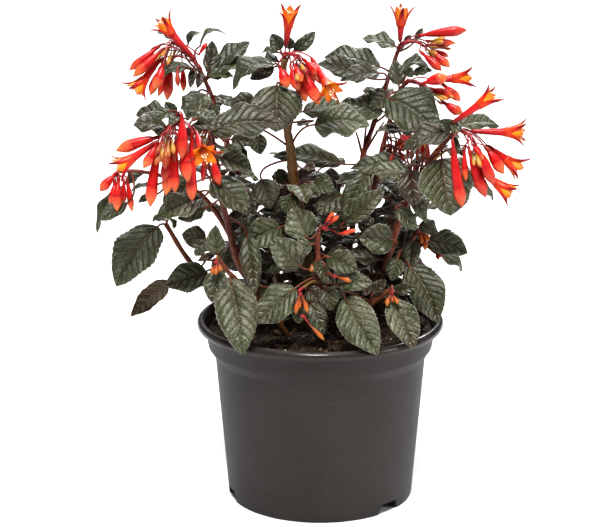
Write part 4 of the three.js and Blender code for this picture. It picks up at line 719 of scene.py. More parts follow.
def add_blade(shape, root, base, tip, width, facing, arch, draw, tone=None):
    """A leaf on its stalk: from root the stalk bends to the blade's base, and facing is the way the
    upper face looks. The blade is quilted between its side veins, waved at the rim and toothed."""
    length = (tip - base).length
    along = (tip - base).normalized()
    up = square_to(facing, along)
    if tone is None:
        tone = draw.uniform(0.38, 1.0) if width > LEAF_WIDTHS[1] else draw.uniform(0.1, 1.0)

    control = base - 0.4 * (base - root).length * along
    stalk = [bend(root, control, base, t) for t in steps(8)]
    stalk.append(base + along * 0.12 * length + up * arch * length * 0.4)
    radii = [mixed([LEAF_STALK_RADIUS, 0.8 * LEAF_STALK_RADIUS], i / 8) for i in range(9)] + [0.25]
    shape.tube(stalk, radii, 7, LEAF_KINDS["stem"], RED_TONE * tone)

    columns, rows = leaf_rows(width)
    cad_steps = 2 + sum(width > limit for limit in LEAF_WIDTHS)
    pairs = max(4, min(8, round(length / VEIN_SPACE)))
    slant = 0.42 * width / length
    bow = draw.uniform(-0.04, 0.04) * length
    swirl = draw.uniform(0, 2 * math.pi)
    droop = draw.uniform(0.0, 0.1) * length
    fold = draw.uniform(0.05, 0.4)
    curl = draw.uniform(-0.1, 0.3)
    twist = draw.uniform(-32, 32)
    teeth = max(8, round(length / TOOTH_SPACE))
    rough_place = Vector((draw.uniform(0, 90), 0, draw.uniform(0, 90)))
    upper, lower, marks = [], [], []
    for t in [0.004 + 0.992 * value for value in steps(rows)]:
        half = 0.5 * width * blade_half_width(t)
        wave = -WAVE_DEPTH * width * math.cos(math.pi * (t * (cad_steps + 0.1) - 0.55))
        spin = twist * (t - 0.35) * min(1, 4 * t)
        side_here = turned(along.cross(up), along, spin)
        up_here = turned(up, along, spin)
        rib = base + along * length * t + up * (arch * length * 4 * t * (1 - t) - droop * t**4)
        rib += side_here * bow * math.sin(math.pi * t)
        line_up, line_down, line_mark = [], [], []
        for k in range(columns + 1):
            u = -1 + 2 * k / columns
            far = abs(u)
            toothed = half * (1 + TOOTH_DEPTH * far**6 * math.cos(2 * math.pi * teeth * t))
            phase = vein_phase(u, t, slant, pairs)
            near_vein = abs(phase - math.floor(phase) - 0.5) * 2
            quilt = QUILT_DEPTH * width * (1 - near_vein**2.2) * min(1, far / 0.15) * (1 - far**5)
            quilt *= 1 + 0.8 * noise.noise(rough_place + Vector((2.1 * u, 0.1 * length * t, 0)))
            groove = -GROOVE_DEPTH * width * math.exp(-((u * half / 1.2) ** 2))
            ripple = RIPPLE_DEPTH * width * math.sin(4.4 * math.pi * t + swirl + (2.1 if u > 0 else 0))
            height = half * ((EDGE_LIFT + fold) * far**1.3 - (curl + 0.7 * fold) * far**4)
            height += (wave + ripple) * far**3 * min(1, 6 * t, 5 * (1 - t))
            relief = (quilt + groove) * min(1, 5 * t, 4 * (1 - t))
            point = rib + side_here * u * toothed + up_here * (height + relief)
            ridge = 0.5 * math.exp(-((u * half / 0.9) ** 2)) * (1 - t)
            line_up.append(point)
            line_down.append(point - up_here * (BLADE_THICKNESS * (1 - 0.55 * far**2) + ridge))
            line_mark.append((u, t, phase))
        upper.append(line_up)
        lower.append(line_down)
        marks.append(line_mark)
    shape.blade(upper, lower, marks, tone, (LEAF_KINDS["upper"], LEAF_KINDS["under"]))
    return base.lerp(tip, 0.5)


def add_leaf(shape, stem, row, draw, tone=None):
    start, bX, bZ, bY, tX, tZ, tY, width, turn, lift, arch = row
    a, b = math.radians(turn), math.radians(lift)
    facing = Vector((math.sin(a) * math.cos(b), -math.cos(a) * math.cos(b), math.sin(b)))
    root = stem_point(stem, start)
    return add_blade(shape, root, seen(bX, bZ, bY), seen(tX, tZ, tY), width, facing, arch, draw, tone)


def on_plate(point):
    """X and Z of a true point as the eye reads them on the upright plane through the pot's axis."""
    scale = EYE_DISTANCE / (EYE_DISTANCE + point.y)
    return point.x * scale, EYE_HEIGHT + (point.z - EYE_HEIGHT) * scale


def add_inner_leaves(shape, stem, middles, draw):
    """Smaller leaves in pairs up a stem, wherever the heart of the bush has room for them."""
    for level in range(INNER_LEVELS):
        place = 0.2 + 0.75 * (level + draw.uniform(-0.3, 0.3)) / INNER_LEVELS
        root = stem_point(stem, place * (len(stem) - 1))
        spin = draw.uniform(0, math.pi)
        for k in range(4):
            angle = spin + k * math.pi / 2
            rise = draw.uniform(-0.25, 0.6)
            way = Vector((math.cos(angle), math.sin(angle), rise)).normalized()
            length = draw.uniform(*INNER_LENGTHS)
            base = root + way * draw.uniform(4, 10)
            tip = base + (way + Vector((0, 0, draw.uniform(-0.9, 0.1)))).normalized() * length
            middle = base.lerp(tip, 0.5)
            places = (on_plate(middle), on_plate(tip))
            inside = all(abs(X) < INNER_REACH and INNER_LOW < Z < INNER_HIGH for X, Z in places)
            deep = INNER_FRONT < middle.y < INNER_BACK and tip.y < INNER_BACK
            clear = tip.z > POT_CLEAR_Z or math.hypot(tip.x, tip.y) < POT_CLEAR_RADIUS
            free = all((middle - other).length >= INNER_SPACE for other in middles)
            if not (inside and deep and clear and free):
                continue
            facing = Vector((0.5 * way.x, 0.5 * way.y - 0.35, 0.8))
            middles.append(add_blade(shape, root, base, tip, 0.6 * length, facing, 0.08, draw))


def add_stem(shape, stem, share, tone):
    places = stem_places(stem)
    count = 6 * (len(stem) - 1)
    path = [smooth_point(places, t) for t in steps(count)]
    radii = []
    for t in steps(count):
        joint = math.cos(2 * math.pi * t * (len(stem) - 1)) ** 8
        radii.append(mixed([point[3] for point in stem], t) * share * (0.93 + 0.14 * joint))
    shape.tube(path, radii, 12, LEAF_KINDS["stem"], tone)


def twig_path(stem, start, end):
    root = stem_point(stem, start)
    middle = root.lerp(end, 0.5) + Vector((0, 0, 2))
    return [root, middle, end]


# Flowers and buds

FLOWER_KINDS = {"tube": 0, "petal": 1, "stalk": 2, "stamen": 3, "sepal": 4, "young": 5, "face": 6}


def add_flower_stalk(shape, root, base, tone):
    control = root.lerp(base, 0.5) + Vector((0, 0, 0.28 * (base - root).length))
    path = [bend(root, control, base, t) for t in steps(7)]
    shape.tube(path, [FLOWER_STALK_RADIUS] * len(path), 7, FLOWER_KINDS["stalk"], tone)


def add_bud(shape, root, row, draw, kind):
    base, tip = seen(*row[:3]), seen(*row[3:6])
    width = row[6]
    tone = draw.random()
    add_flower_stalk(shape, root, base, RED_TONE * tone)
    swell_bud(shape, base, tip, width, draw, kind, tone)


# Outlines as shares of length and half width: a small bud from base to tip, the tube of a grown bud from
# ovary to bulb, and its bulb back from the tip
SMALL_BUD_OUTLINE = (
    (0, 0.35), (0.08, 0.42), (0.16, 0.36), (0.3, 0.52), (0.45, 0.7), (0.6, 0.84), (0.72, 0.86), (0.82, 0.72),
    (0.9, 0.47), (0.96, 0.22), (1, 0.03),
)
TUBE_OUTLINE = ((0.15, 0.55), (0.35, 0.67), (0.55, 0.77), (0.75, 0.85), (0.92, 0.91))
BULB_OUTLINE = (
    (0.96, 0.94), (0.84, 1.0), (0.72, 1.05), (0.6, 1.06), (0.49, 1.0), (0.38, 0.87), (0.27, 0.67),
    (0.17, 0.45), (0.08, 0.24), (0.03, 0.1), (0, 0.02),
)
# The along value of the marks at the seam between tube and bulb, and at an open flower's mouth
SEAM_MARK = 0.63
MOUTH_MARK = 0.56


def swell_bud(shape, base, tip, width, draw, kind, tone):
    """A closed bud from its base to its pointed tip: a small one is a spindle, a grown one has an
    ovary, a tube and a bulb of four folded sepals."""
    along = tip - base
    length = along.length
    along.normalize()
    belly = 0.5 * width
    if kind == FLOWER_KINDS["tube"]:
        tone *= 0.85 if width >= SLIM_BUD else 0.5
    if width < SMALL_BUD:
        widths = [(ahead * length, share * belly) for ahead, share in SMALL_BUD_OUTLINE]
    else:
        ovary = min(OVARY_LENGTH, 0.26 * length)
        tube = length - ovary
        bulb = min(1.9 * width, 0.64 * tube)
        widths = [
            (0, 0.7), (0.2 * ovary, 1.1), (0.5 * ovary, 0.9 * OVARY_RADIUS), (0.8 * ovary, 1.2),
            (ovary, 0.42 * belly),
            *((ovary + share * (tube - bulb), part * belly) for share, part in TUBE_OUTLINE),
            *((length - bulb * share, part * belly) for share, part in BULB_OUTLINE),
        ]
    bow = square_to(Vector((draw.uniform(-1, 1), draw.uniform(-1, 1), 0.4)), along) * 0.025 * length
    path = [base + along * ahead + bow * math.sin(math.pi * ahead / length) for ahead, _ in widths]
    marks = [ahead / length for ahead, _ in widths]
    if width >= SMALL_BUD:
        seam = length - 0.9 * bulb
        marks = [
            SEAM_MARK * ahead / seam if ahead < seam
            else SEAM_MARK + (1 - SEAM_MARK) * (ahead - seam) / (length - seam)
            for ahead, _ in widths
        ]
    shape.tube(path, [radius for _, radius in widths], TUBE_SIDES, kind, tone, marks=marks, ridges=0.08)


def add_lobe(shape, start, knee, end, out, widths, thickness, tone, kinds, cup):
    """A sepal or petal along a bent rib; out is the way its back faces, cup how far its sides rise."""
    rows, columns, near = 12, 6, 0.02
    upper, lower, places = [], [], []
    for t in steps(rows):
        rib = bend(start, knee, end, t)
        before, after = (bend(start, knee, end, place) for place in (max(0, t - near), min(1, t + near)))
        ahead = (after - before).normalized()
        back = square_to(out, ahead)
        side = ahead.cross(back)
        half = 0.5 * mixed(widths, t)
        line_up, line_down, line_mark = [], [], []
        for k in range(columns + 1):
            u = -1 + 2 * k / columns
            point = rib + side * u * half - back * cup * half * u * u
            line_up.append(point)
            line_down.append(point + back * thickness * (1 - 0.5 * u * u))
            line_mark.append((u, t, 0))
        upper.append(line_up)
        lower.append(line_down)
        places.append(line_mark)
    shape.blade(lower, upper, places, tone, kinds)


def add_flower(shape, root, row, draw):
    """An open flower: stalk, ovary, tube with a hollow throat, four sepals, four petals between
    them, eight stamens and a style with its knob."""
    base, mouth = seen(*row[:3]), seen(*row[3:6])
    turn, flare = row[6:]
    tone = draw.random()
    add_flower_stalk(shape, root, base, tone)
    length = (mouth - base).length
    axis = (mouth - base).normalized()
    across = Vector((0, 0, 1)) - axis.z * axis
    if across.length < 0.2:
        across = Vector((0, -1, 0)) + axis.y * axis
    across.normalize()

    def out(degrees):
        return turned(across, axis, turn + degrees)

    ovary = min(OVARY_LENGTH, 0.3 * length)
    widths = [(0, 0.8), (0.25 * ovary, 1.35), (0.55 * ovary, 1.1 * OVARY_RADIUS), (0.85 * ovary, 1.6),
              (ovary + 1, 1.75), (0.4 * length, 2.0), (0.55 * length, 2.15), (0.7 * length, 2.4),
              (0.85 * length, 2.75), (length - 0.6, TUBE_MOUTH)]
    path = [base + axis * ahead for ahead, _ in widths]
    radii = [radius for _, radius in widths]
    marks = [MOUTH_MARK * ahead / length for ahead, _ in widths]
    rings = shape.tube(path, radii, TUBE_SIDES, FLOWER_KINDS["tube"], tone, marks=marks, open_end=True)
    throat = []
    first = square_to(Vector((0, -1, 0)), axis)
    second = axis.cross(first)
    for inward, radius in ((1.0, TUBE_MOUTH - 0.55), (4, 2.2), (8, 1.5)):
        ring = []
        for k in range(TUBE_SIDES):
            angle = 2 * math.pi * k / TUBE_SIDES
            way = math.cos(angle) * first + math.sin(angle) * second
            ring.append(shape.corner(base + axis * (length - inward) + radius * way, (0, 0.3, 0), tone))
        throat.append(ring)
    shape.join([rings[-1], *throat], FLOWER_KINDS["petal"])
    shape.face(tuple(throat[-1]), FLOWER_KINDS["petal"])

    lean = math.radians(flare)
    for k in range(4):
        way = out(90 * k)
        swing = draw.uniform(-0.16, 0.16)
        reach = SEPAL_LENGTH * draw.uniform(0.9, 1.0)
        end = mouth + way * (2 + reach * math.sin(lean + swing)) + axis * reach * math.cos(lean + swing)
        start = mouth + way * (TUBE_MOUTH - 0.45) - axis * 3
        knee = mouth + way * (TUBE_MOUTH + 0.06 * reach) + axis * 0.45 * reach
        end += out(90 * k + 90) * draw.uniform(-1.4, 1.4)
        kinds = (FLOWER_KINDS["sepal"], FLOWER_KINDS["face"])
        add_lobe(shape, start, knee, end, way, SEPAL_WIDTHS, SEPAL_THICKNESS, tone, kinds, 0.45)
    opened = math.radians(max(12, 0.9 * flare - 10))
    for k in range(4):
        way = out(90 * k + 45)
        reach = PETAL_LENGTH * draw.uniform(0.92, 1.05)
        end = mouth + way * (2.4 + reach * math.sin(opened)) + axis * reach * math.cos(opened)
        start = mouth + way * (TUBE_MOUTH - 0.8) - axis * 1.2
        knee = mouth + way * (TUBE_MOUTH + 0.1) + axis * 0.5 * reach * math.cos(opened)
        kinds = (FLOWER_KINDS["petal"], FLOWER_KINDS["petal"])
        add_lobe(shape, start, knee, end, way, PETAL_WIDTHS, PETAL_THICKNESS, tone, kinds, 0.3)
    for k in range(8):
        way = out(45 * k + draw.uniform(-12, 12))
        reach = draw.uniform(6, 9)
        end = mouth + axis * reach + way * draw.uniform(0.8, 2.4)
        start = mouth - axis * 3 + way * 1.0
        path = [bend(start, mouth + way * 1.1 + axis * 2, end, t) for t in steps(4)]
        shape.tube(path, [0.16] * 5, 5, FLOWER_KINDS["stamen"], 0.3)
        tip = (path[-1] - path[-2]).normalized()
        anther = [end - tip * 0.2, end + tip * 0.3, end + tip * 0.8, end + tip * 1.2]
        shape.tube(anther, [0.15, 0.42, 0.42, 0.1], 6, FLOWER_KINDS["stamen"], 0.9)
    path = [mouth + axis * (STYLE_LENGTH - 1) * t - axis * 3 * (1 - t) for t in steps(4)]
    shape.tube(path, [0.28] * 5, 6, FLOWER_KINDS["stamen"], 0.1)
    end = path[-1]
    knob = [end - axis * 0.3, end + axis * 0.2, end + axis * 0.7, end + axis * 1.0]
    shape.tube(knob, [0.25, 0.62, 0.62, 0.2], 8, FLOWER_KINDS["stamen"], 0.6)


def clustered(rows, draw):
    """Young buds in tufts: beside each, slimmer and shorter ones of the same root."""
    result = []
    for bX, bZ, bY, tX, tZ, tY, width in rows:
        result.append([bX, bZ, bY, tX, tZ, tY, 0.78 * width])
        for _ in range(TUFT_BUDS):
            share = draw.uniform(0.6, 0.95)
            sway, lift, ahead = draw.uniform(-3, 3), draw.uniform(-1.5, 1.5), draw.uniform(-1, 3)
            X, Z, y = (start + share * (end - start) for start, end in ((bX, tX), (bZ, tZ), (bY, tY)))
            base = [bX + 0.2 * sway, bZ, bY + 0.2 * ahead]
            result.append([*base, X + sway, Z + lift, y + ahead, 0.62 * width])
    return result


def add_nest(shape, heart, rows, draw):
    """The young yellow-green buds that crowd round the end of a spray's axis, on short stalks."""
    down = Vector((0, 0, 0))
    for row in rows:
        down += seen(*row[3:6]) - seen(*row[:3])
    down.normalize()
    for k in range(NEST_BUDS):
        spread = Vector((draw.uniform(-1, 1), draw.uniform(-1.6, 0.4), draw.uniform(-0.6, 0.6)))
        aim = (down + 0.5 * spread).normalized()
        base = heart + aim * draw.uniform(1.5, 9) + spread * 3
        length = draw.uniform(6, 13)
        shape.tube([heart, heart.lerp(base, 0.5), base], [0.4] * 3, 6, FLOWER_KINDS["stalk"], draw.random())
        swell_bud(shape, base, base + aim * length, 0.3 * length, draw, FLOWER_KINDS["young"], draw.random())


def add_spray(shape, end, before, radius, axis_places, buds, flowers, draw):
    """A spray past the end of its stem: the axis, a nest of young buds if it flowers, flowers, buds."""
    way = (end - before).normalized()
    start = end + way * SOIL_GAP
    collar = start + way * SPRAY_COLLAR
    places = [collar] + axis_places
    smooth = [smooth_point(places, t) for t in steps(5 * (len(places) - 1))]
    path = [start] + smooth
    radii = [radius] + [mixed([radius, 0.78 * radius, 0.66 * radius], t) for t in steps(len(smooth) - 1)]
    shape.tube(path, radii, 9, FLOWER_KINDS["stalk"], draw.random())
    rows = flowers + buds
    if flowers:
        add_nest(shape, smooth[-1], rows, draw)
    for i, row in enumerate(rows):
        root = smooth_point(places, (i + 0.4) / len(rows))
        if len(row) == 8:
            add_flower(shape, root, row, draw)
        else:
            add_bud(shape, root, row, draw, FLOWER_KINDS["tube"])


# The pot and its soil

# Points of the pot's inside from its collar down, as radius and height
POT_INSIDE = [
    (COLLAR_RADIUS - COLLAR_TAPER - POT_WALL, COLLAR_FOOT + 0.5), (STEP_RADIUS - POT_WALL, STEP_HEIGHT),
    (FOOT_RADIUS - 1.2, 7), (50.2, 7), (48.6, 2), (0, 2),
]


def lathe(shape, profile, sides, kind):
    """A turned body from a profile of (radius, height) pairs that starts and ends on the axis."""
    rings = []
    for place, (radius, height) in enumerate(profile):
        mark = (0, height / POT_HEIGHT, place)
        rings.append([
            shape.corner(Vector((radius * math.cos(a), radius * math.sin(a), height)), mark, 0.5)
            for a in (2 * math.pi * k / sides for k in range(sides if radius else 1))
        ])
    shape.join(rings, kind)


def pot_profile():
    return [
        (0, 0), (50, 0), (51.5, 5), (60.8, 5), (61.8, 0),
        (FOOT_RADIUS - 0.4, 0), (FOOT_RADIUS + 0.1, 1), (FOOT_RADIUS + 0.6, 6),
        (STEP_RADIUS - 0.1, STEP_HEIGHT - 1.5), (STEP_RADIUS + 0.5, STEP_HEIGHT + 0.2),
        (COLLAR_RADIUS - COLLAR_TAPER - 0.7, COLLAR_FOOT - 1),
        (COLLAR_RADIUS - COLLAR_TAPER, COLLAR_FOOT), (COLLAR_RADIUS - COLLAR_TAPER + 0.2, COLLAR_FOOT + 1),
        (COLLAR_RADIUS - 0.2, POT_HEIGHT - 7.6), (COLLAR_RADIUS + 0.4, POT_HEIGHT - 6.6),
        (LIP_RADIUS - 1.8, POT_HEIGHT - 6.0), (LIP_RADIUS - 0.6, POT_HEIGHT - 5.6),
        (LIP_RADIUS - 0.1, POT_HEIGHT - 4.6), (LIP_RADIUS, POT_HEIGHT - 3.2),
        (LIP_RADIUS - 0.5, POT_HEIGHT - 1.6), (LIP_RADIUS - 1.6, POT_HEIGHT - 0.5),
        (LIP_RADIUS - 3.0, POT_HEIGHT), (LIP_RADIUS - 4.2, POT_HEIGHT - 0.2),
        (LIP_RADIUS - 5.4, POT_HEIGHT - 1.2),
        (COLLAR_RADIUS - POT_WALL, INNER_TOP - 1), *POT_INSIDE,
    ]


def cut_notches(pot):
    """Cuts the notches of the pot's foot right through its rim, and keeps the result as the mesh."""
    half, top, height = 0.5 * NOTCH["width"], 0.5 * NOTCH["top_width"], NOTCH["height"]
    cutters = []
    for k in range(NOTCH["count"]):
        angle = math.radians(NOTCH["first_angle"] + 360 * k / NOTCH["count"])
        out = Vector((math.cos(angle), math.sin(angle), 0))
        side = Vector((-out.y, out.x, 0))
        outline = [(-half, -1), (half, -1), (top, height), (-top, height)]
        points = [
            (out * distance + side * x + Vector((0, 0, z))) * MM
            for distance in (55, 67) for x, z in outline
        ]
        faces = [(3, 2, 1, 0), (4, 5, 6, 7), (1, 5, 4, 0), (2, 6, 5, 1), (3, 7, 6, 2), (0, 4, 7, 3)]
        mesh = bpy.data.meshes.new("notch_cutter")
        mesh.from_pydata(points, [], faces)
        cutter = bpy.data.objects.new("notch_cutter", mesh)
        bpy.context.scene.collection.objects.link(cutter)
        modifier = pot.modifiers.new("notch", "BOOLEAN")
        modifier.object = cutter
        modifier.operation = "DIFFERENCE"
        modifier.solver = "EXACT"
        cutters.append(cutter)
    bpy.context.view_layer.update()
    graph = bpy.context.evaluated_depsgraph_get()
    finished = bpy.data.meshes.new_from_object(pot.evaluated_get(graph))
    pot.modifiers.clear()
    pot.data = finished
    for cutter in cutters:
        bpy.data.objects.remove(cutter)


def soil_height(x, y):
    r = math.hypot(x, y) / COLLAR_RADIUS
    broad = 1.3 * math.sin(0.23 * x + 1.1) * math.cos(0.19 * y - 0.4)
    lumps = broad + 0.8 * math.sin(0.41 * x - 0.37 * y)
    return SOIL_LEVEL + SOIL_MOUND * (1 - r * r) + lumps * (1 - r**4)


def soil_edge():
    wall = COLLAR_RADIUS - POT_WALL - SOIL_GAP
    inner_foot = COLLAR_FOOT + 0.5
    return wall - COLLAR_TAPER * (INNER_TOP - SOIL_LEVEL) / (INNER_TOP - inner_foot)


def add_soil_body(shape):
    """The soil a gap inside the pot up to its edge, and its top as rings with fine crumbs raised."""
    edge = soil_edge()
    sides, top_rings = 96, 40
    below = [(max(0, radius - SOIL_GAP), height + SOIL_GAP) for radius, height in reversed(POT_INSIDE)]
    top = [(edge * (1 - (k / top_rings) ** 1.1), None) for k in range(1, top_rings)] + [(0, None)]
    rings = []
    for radius, height in [*below, (edge, SOIL_LEVEL), *top]:
        ring = []
        for k in range(sides if radius else 1):
            angle = 2 * math.pi * k / sides
            x, y = radius * math.cos(angle), radius * math.sin(angle)
            z = height
            if z is None:
                crumbs = noise.noise(Vector((0.31 * x, 0.31 * y, 3.0)))
                crumbs += 0.6 * noise.noise(Vector((0.9 * x, 0.9 * y, 9.0)))
                z = soil_height(x, y) + 0.9 * crumbs * min(1, (edge - radius) / 4)
            ring.append(shape.corner(Vector((x, y, z)), (0, 0, 0), 0.4))
        rings.append(ring)
    shape.join(rings, 0)


def add_lump(shape, centre, size, squash, draw, kind, tone):
    """A rough crumb: an octahedron with its corners drawn in and out, once divided."""
    turn = Matrix.Rotation(draw.uniform(0, 6.28), 3, "Z") @ Matrix.Rotation(draw.uniform(0, 6.28), 3, "X")
    ways = [Vector(way) for way in ((1, 0, 0), (0, 1, 0), (-1, 0, 0), (0, -1, 0), (0, 0, 1), (0, 0, -1))]
    faces = [(0, 1, 4), (1, 2, 4), (2, 3, 4), (3, 0, 4), (1, 0, 5), (2, 1, 5), (3, 2, 5), (0, 3, 5)]
    middles = {}
    corners = []

    def place(way):
        stretched = turn @ Vector((way.x, way.y * squash[0], way.z * squash[1]))
        point = centre + stretched * size * draw.uniform(0.78, 1.15)
        corners.append(shape.corner(point, (0, 0, 0), tone))
        return corners[-1]

    ends = [place(way) for way in ways]
    for a, b, c in faces:
        mids = []
        for p, q in ((a, b), (b, c), (c, a)):
            key = (min(p, q), max(p, q))
            if key not in middles:
                middles[key] = place((ways[p] + ways[q]).normalized())
            mids.append(middles[key])
        ab, bc, ca = mids
        for corner_set in ((ends[a], ab, ca), (ab, ends[b], bc), (ca, bc, ends[c]), (ab, bc, ca)):
            shape.face(corner_set, kind)


def strewn(draw, reach):
    """A random place on the soil within reach of the pot's axis, and its distance from the axis."""
    radius, angle = reach * math.sqrt(draw.random()), draw.uniform(0, 2 * math.pi)
    x, y = radius * math.cos(angle), radius * math.sin(angle)
    return Vector((x, y, soil_height(x, y))), radius


def add_soil_crumbs(shape, draw):
    """Peat crumbs, pale grit, bark chips and short fibres strewn over the soil."""
    edge = soil_edge() - 1.5
    up = Vector((0, 0, 1))
    for _ in range(CRUMB_COUNT):
        centre, radius = strewn(draw, edge)
        size = draw.uniform(0.5, 1.7) if draw.random() < 0.85 else draw.uniform(1.7, 2.8)
        size = min(size, max(0.6, edge + 1.5 - radius))
        centre += up * draw.uniform(-0.3, 0.5) * size
        add_lump(shape, centre, size, (draw.uniform(0.5, 1), draw.uniform(0.5, 1)), draw, 0, draw.random())
    for count, margin, rise, sizes, squash, kind in (
        (GRIT_COUNT, 2, 0.6, (0.5, 1.2), (0.8, 0.7), 1),
        (BARK_COUNT, 5, 1.0, (2.2, 4.2), (0.35, 0.16), 2),
    ):
        for _ in range(count):
            centre, _ = strewn(draw, edge - margin)
            add_lump(shape, centre + up * rise, draw.uniform(*sizes), squash, draw, kind, draw.random())
    for _ in range(FIBRE_COUNT):
        centre, _ = strewn(draw, edge - 6)
        centre += up * draw.uniform(0.4, 1.6)
        heading = Vector((draw.uniform(-1, 1), draw.uniform(-1, 1), draw.uniform(-0.15, 0.25))).normalized()
        reach = draw.uniform(2.5, 5)
        sag = Vector((draw.uniform(-0.8, 0.8), draw.uniform(-0.8, 0.8), draw.uniform(0, 0.8)))
        path = [centre - heading * reach, centre + sag, centre + heading * reach]
        shape.tube(path, [0.2, 0.26, 0.15], 5, 3 if draw.random() < 0.35 else 2, draw.random())


# Materials

# How far red, green and blue light go into the flesh of a flower, beside each other
RED_FLESH = (1.0, 0.3, 0.15)
ORANGE_FLESH = (1.0, 0.4, 0.1)


class Nodes:
    """Short ways to lay the nodes of one material."""

    def __init__(self, name, roughness, specular=0.5, flesh=None):
        self.material = bpy.data.materials.new(name)
        self.material.use_nodes = True
        self.tree = self.material.node_tree
        self.shader = self.tree.nodes["Principled BSDF"]
        settings = {"Roughness": roughness, "Specular IOR Level": specular}
        if flesh:
            settings |= {"Subsurface Weight": 0.05, "Subsurface Scale": 0.003, "Subsurface Radius": flesh}
        for socket, value in settings.items():
            self.shader.inputs[socket].default_value = value

    def node(self, kind, inputs, **settings):
        node = self.tree.nodes.new(kind)
        for key, value in settings.items():
            setattr(node, key, value)
        for socket, value in inputs.items():
            self.feed(node.inputs[socket], value)
        return node.outputs

    def feed(self, socket, value):
        if isinstance(value, bpy.types.NodeSocket):
            self.tree.links.new(value, socket)
        else:
            socket.default_value = value

    def place(self):
        return self.node("ShaderNodeTexCoord", {})["Object"]

    def height(self):
        return self.node("ShaderNodeSeparateXYZ", {0: self.place()})["Z"]

    def mark(self):
        """The across, along and vein values of the corner marks."""
        mark = self.node("ShaderNodeAttribute", {}, attribute_name="mark")["Vector"]
        return self.node("ShaderNodeSeparateXYZ", {0: mark})

    def tone(self):
        return self.node("ShaderNodeAttribute", {}, attribute_name="tone")["Fac"]

    def math(self, operation, a, b=0.0):
        return self.node("ShaderNodeMath", {0: a, 1: b}, operation=operation)[0]

    def plus(self, a, b):
        return self.math("ADD", a, b)

    def times(self, a, b):
        return self.math("MULTIPLY", a, b)

    def size(self, value):
        return self.math("ABSOLUTE", value)

    def span(self, value, low, high, to_low=0.0, to_high=1.0):
        inputs = {"Value": value, "From Min": low, "From Max": high, "To Min": to_low, "To Max": to_high}
        return self.node("ShaderNodeMapRange", inputs, clamp=True)["Result"]

    def noise(self, scale, detail=3.0, roughness=0.55):
        inputs = {"Vector": self.place(), "Scale": scale, "Detail": detail, "Roughness": roughness}
        return self.node("ShaderNodeTexNoise", inputs)["Fac"]

    def sway(self, scale, reach):
        """Noise about zero."""
        return self.times(self.math("SUBTRACT", self.noise(scale), 0.5), reach)

    def ramp(self, value, stops):
        """Colours along a value, as rows of place, red, green, blue."""
        outputs = self.node("ShaderNodeValToRGB", {"Fac": value})
        elements = outputs["Color"].node.color_ramp.elements
        while len(elements) < len(stops):
            elements.new(0.5)
        for element, (place, *colour) in zip(elements, stops):
            element.position = place
            element.color = (*colour, 1.0)
        return outputs["Color"]

    def mix(self, share, a, b):
        inputs = {0: share}
        for socket, value in ((6, a), (7, b)):
            inputs[socket] = (*value, 1.0) if isinstance(value, tuple) else value
        return self.node("ShaderNodeMix", inputs, data_type="RGBA", blend_type="MIX")[2]

    def finish(self, colour, height=None, strength=0.0, distance=0.0):
        """The material with its colour and, where a height is given, its bump."""
        self.feed(self.shader.inputs["Base Color"], colour)
        if height:
            inputs = {"Height": height, "Strength": strength, "Distance": distance}
            self.feed(self.shader.inputs["Normal"], self.node("ShaderNodeBump", inputs)["Normal"])
        return self.material


def leaf_material(name, stops, aged, crest_sheen, vein, midrib, rim):
    """A blade with a rough, slightly shining skin: stops by tone and mottling, aged patches, a painted sheen
    on the crests between dark side veins, a midrib of its own, a pale rim that is partly its own colour and
    partly painted rim light, and painted shade that darkens it high in the plant."""
    n = Nodes(name, 0.43, 0.52)
    across, along, phase = n.mark()
    far = n.size(across)
    base = n.ramp(n.plus(n.times(n.tone(), 0.95), n.sway(90, 0.8)), stops)
    base = n.mix(n.span(n.noise(34, 1.0), 0.56, 0.72, 0.0, 0.6), base, aged)
    near = n.math("FRACT", n.plus(phase, n.sway(130, 0.3)))
    near = n.times(n.size(n.math("SUBTRACT", near, 0.5)), 2.0)
    cushion = n.times(n.span(near, 1.0, 0.6), n.span(far, 0.0, 0.12))
    cells = n.span(n.noise(620, 2.0, 0.4), 0.36, 0.64)
    # Painted sheen: the raised cushions between the side veins are lightened towards the pale grey-green
    # crest colour, as if they caught the light.
    painted_sheen = n.times(n.span(cushion, 0.0, 1.0, 0.5, 1.0), n.span(n.noise(60), 0.4, 0.65))
    painted_sheen = n.times(painted_sheen, n.span(cells, 0.0, 1.0, 0.35, 1.0))
    painted_sheen = n.times(painted_sheen, n.span(n.tone(), 0.2, 0.95, 0.15, 0.75))
    base = n.mix(painted_sheen, base, crest_sheen)
    clear = n.span(n.noise(48, 1.0), 0.42, 0.6, 0.15, 0.55)
    side_vein = n.times(n.span(near, 0.87, 0.97), n.span(far, 1.0, 0.75))
    base = n.mix(n.times(side_vein, clear), base, vein)
    base = n.mix(n.times(n.span(cells, 0.4, 0.0), 0.55), base, vein)
    rib = n.times(n.span(far, 0.04, 0.012), n.span(along, 0.85, 0.2, 0.2, 0.8))
    base = n.mix(rib, base, midrib)
    # Pale rim: partly the hairy margin's own pale colour, partly painted rim light.
    base = n.mix(n.span(far, 0.93, 1.0, 0.0, 0.7), base, rim)
    # Painted shade: leaves high in the plant, where the key light falls strongest, are darkened towards a
    # deep green.
    base = n.mix(n.span(n.height(), 0.25, 0.3, 0.0, 0.5), base, (0.018, 0.026, 0.013))
    relief = n.plus(n.times(cushion, 0.9), n.times(cells, 0.3))
    return n.finish(base, n.plus(relief, n.times(n.noise(1400), 0.2)), 1.0, 0.0006)


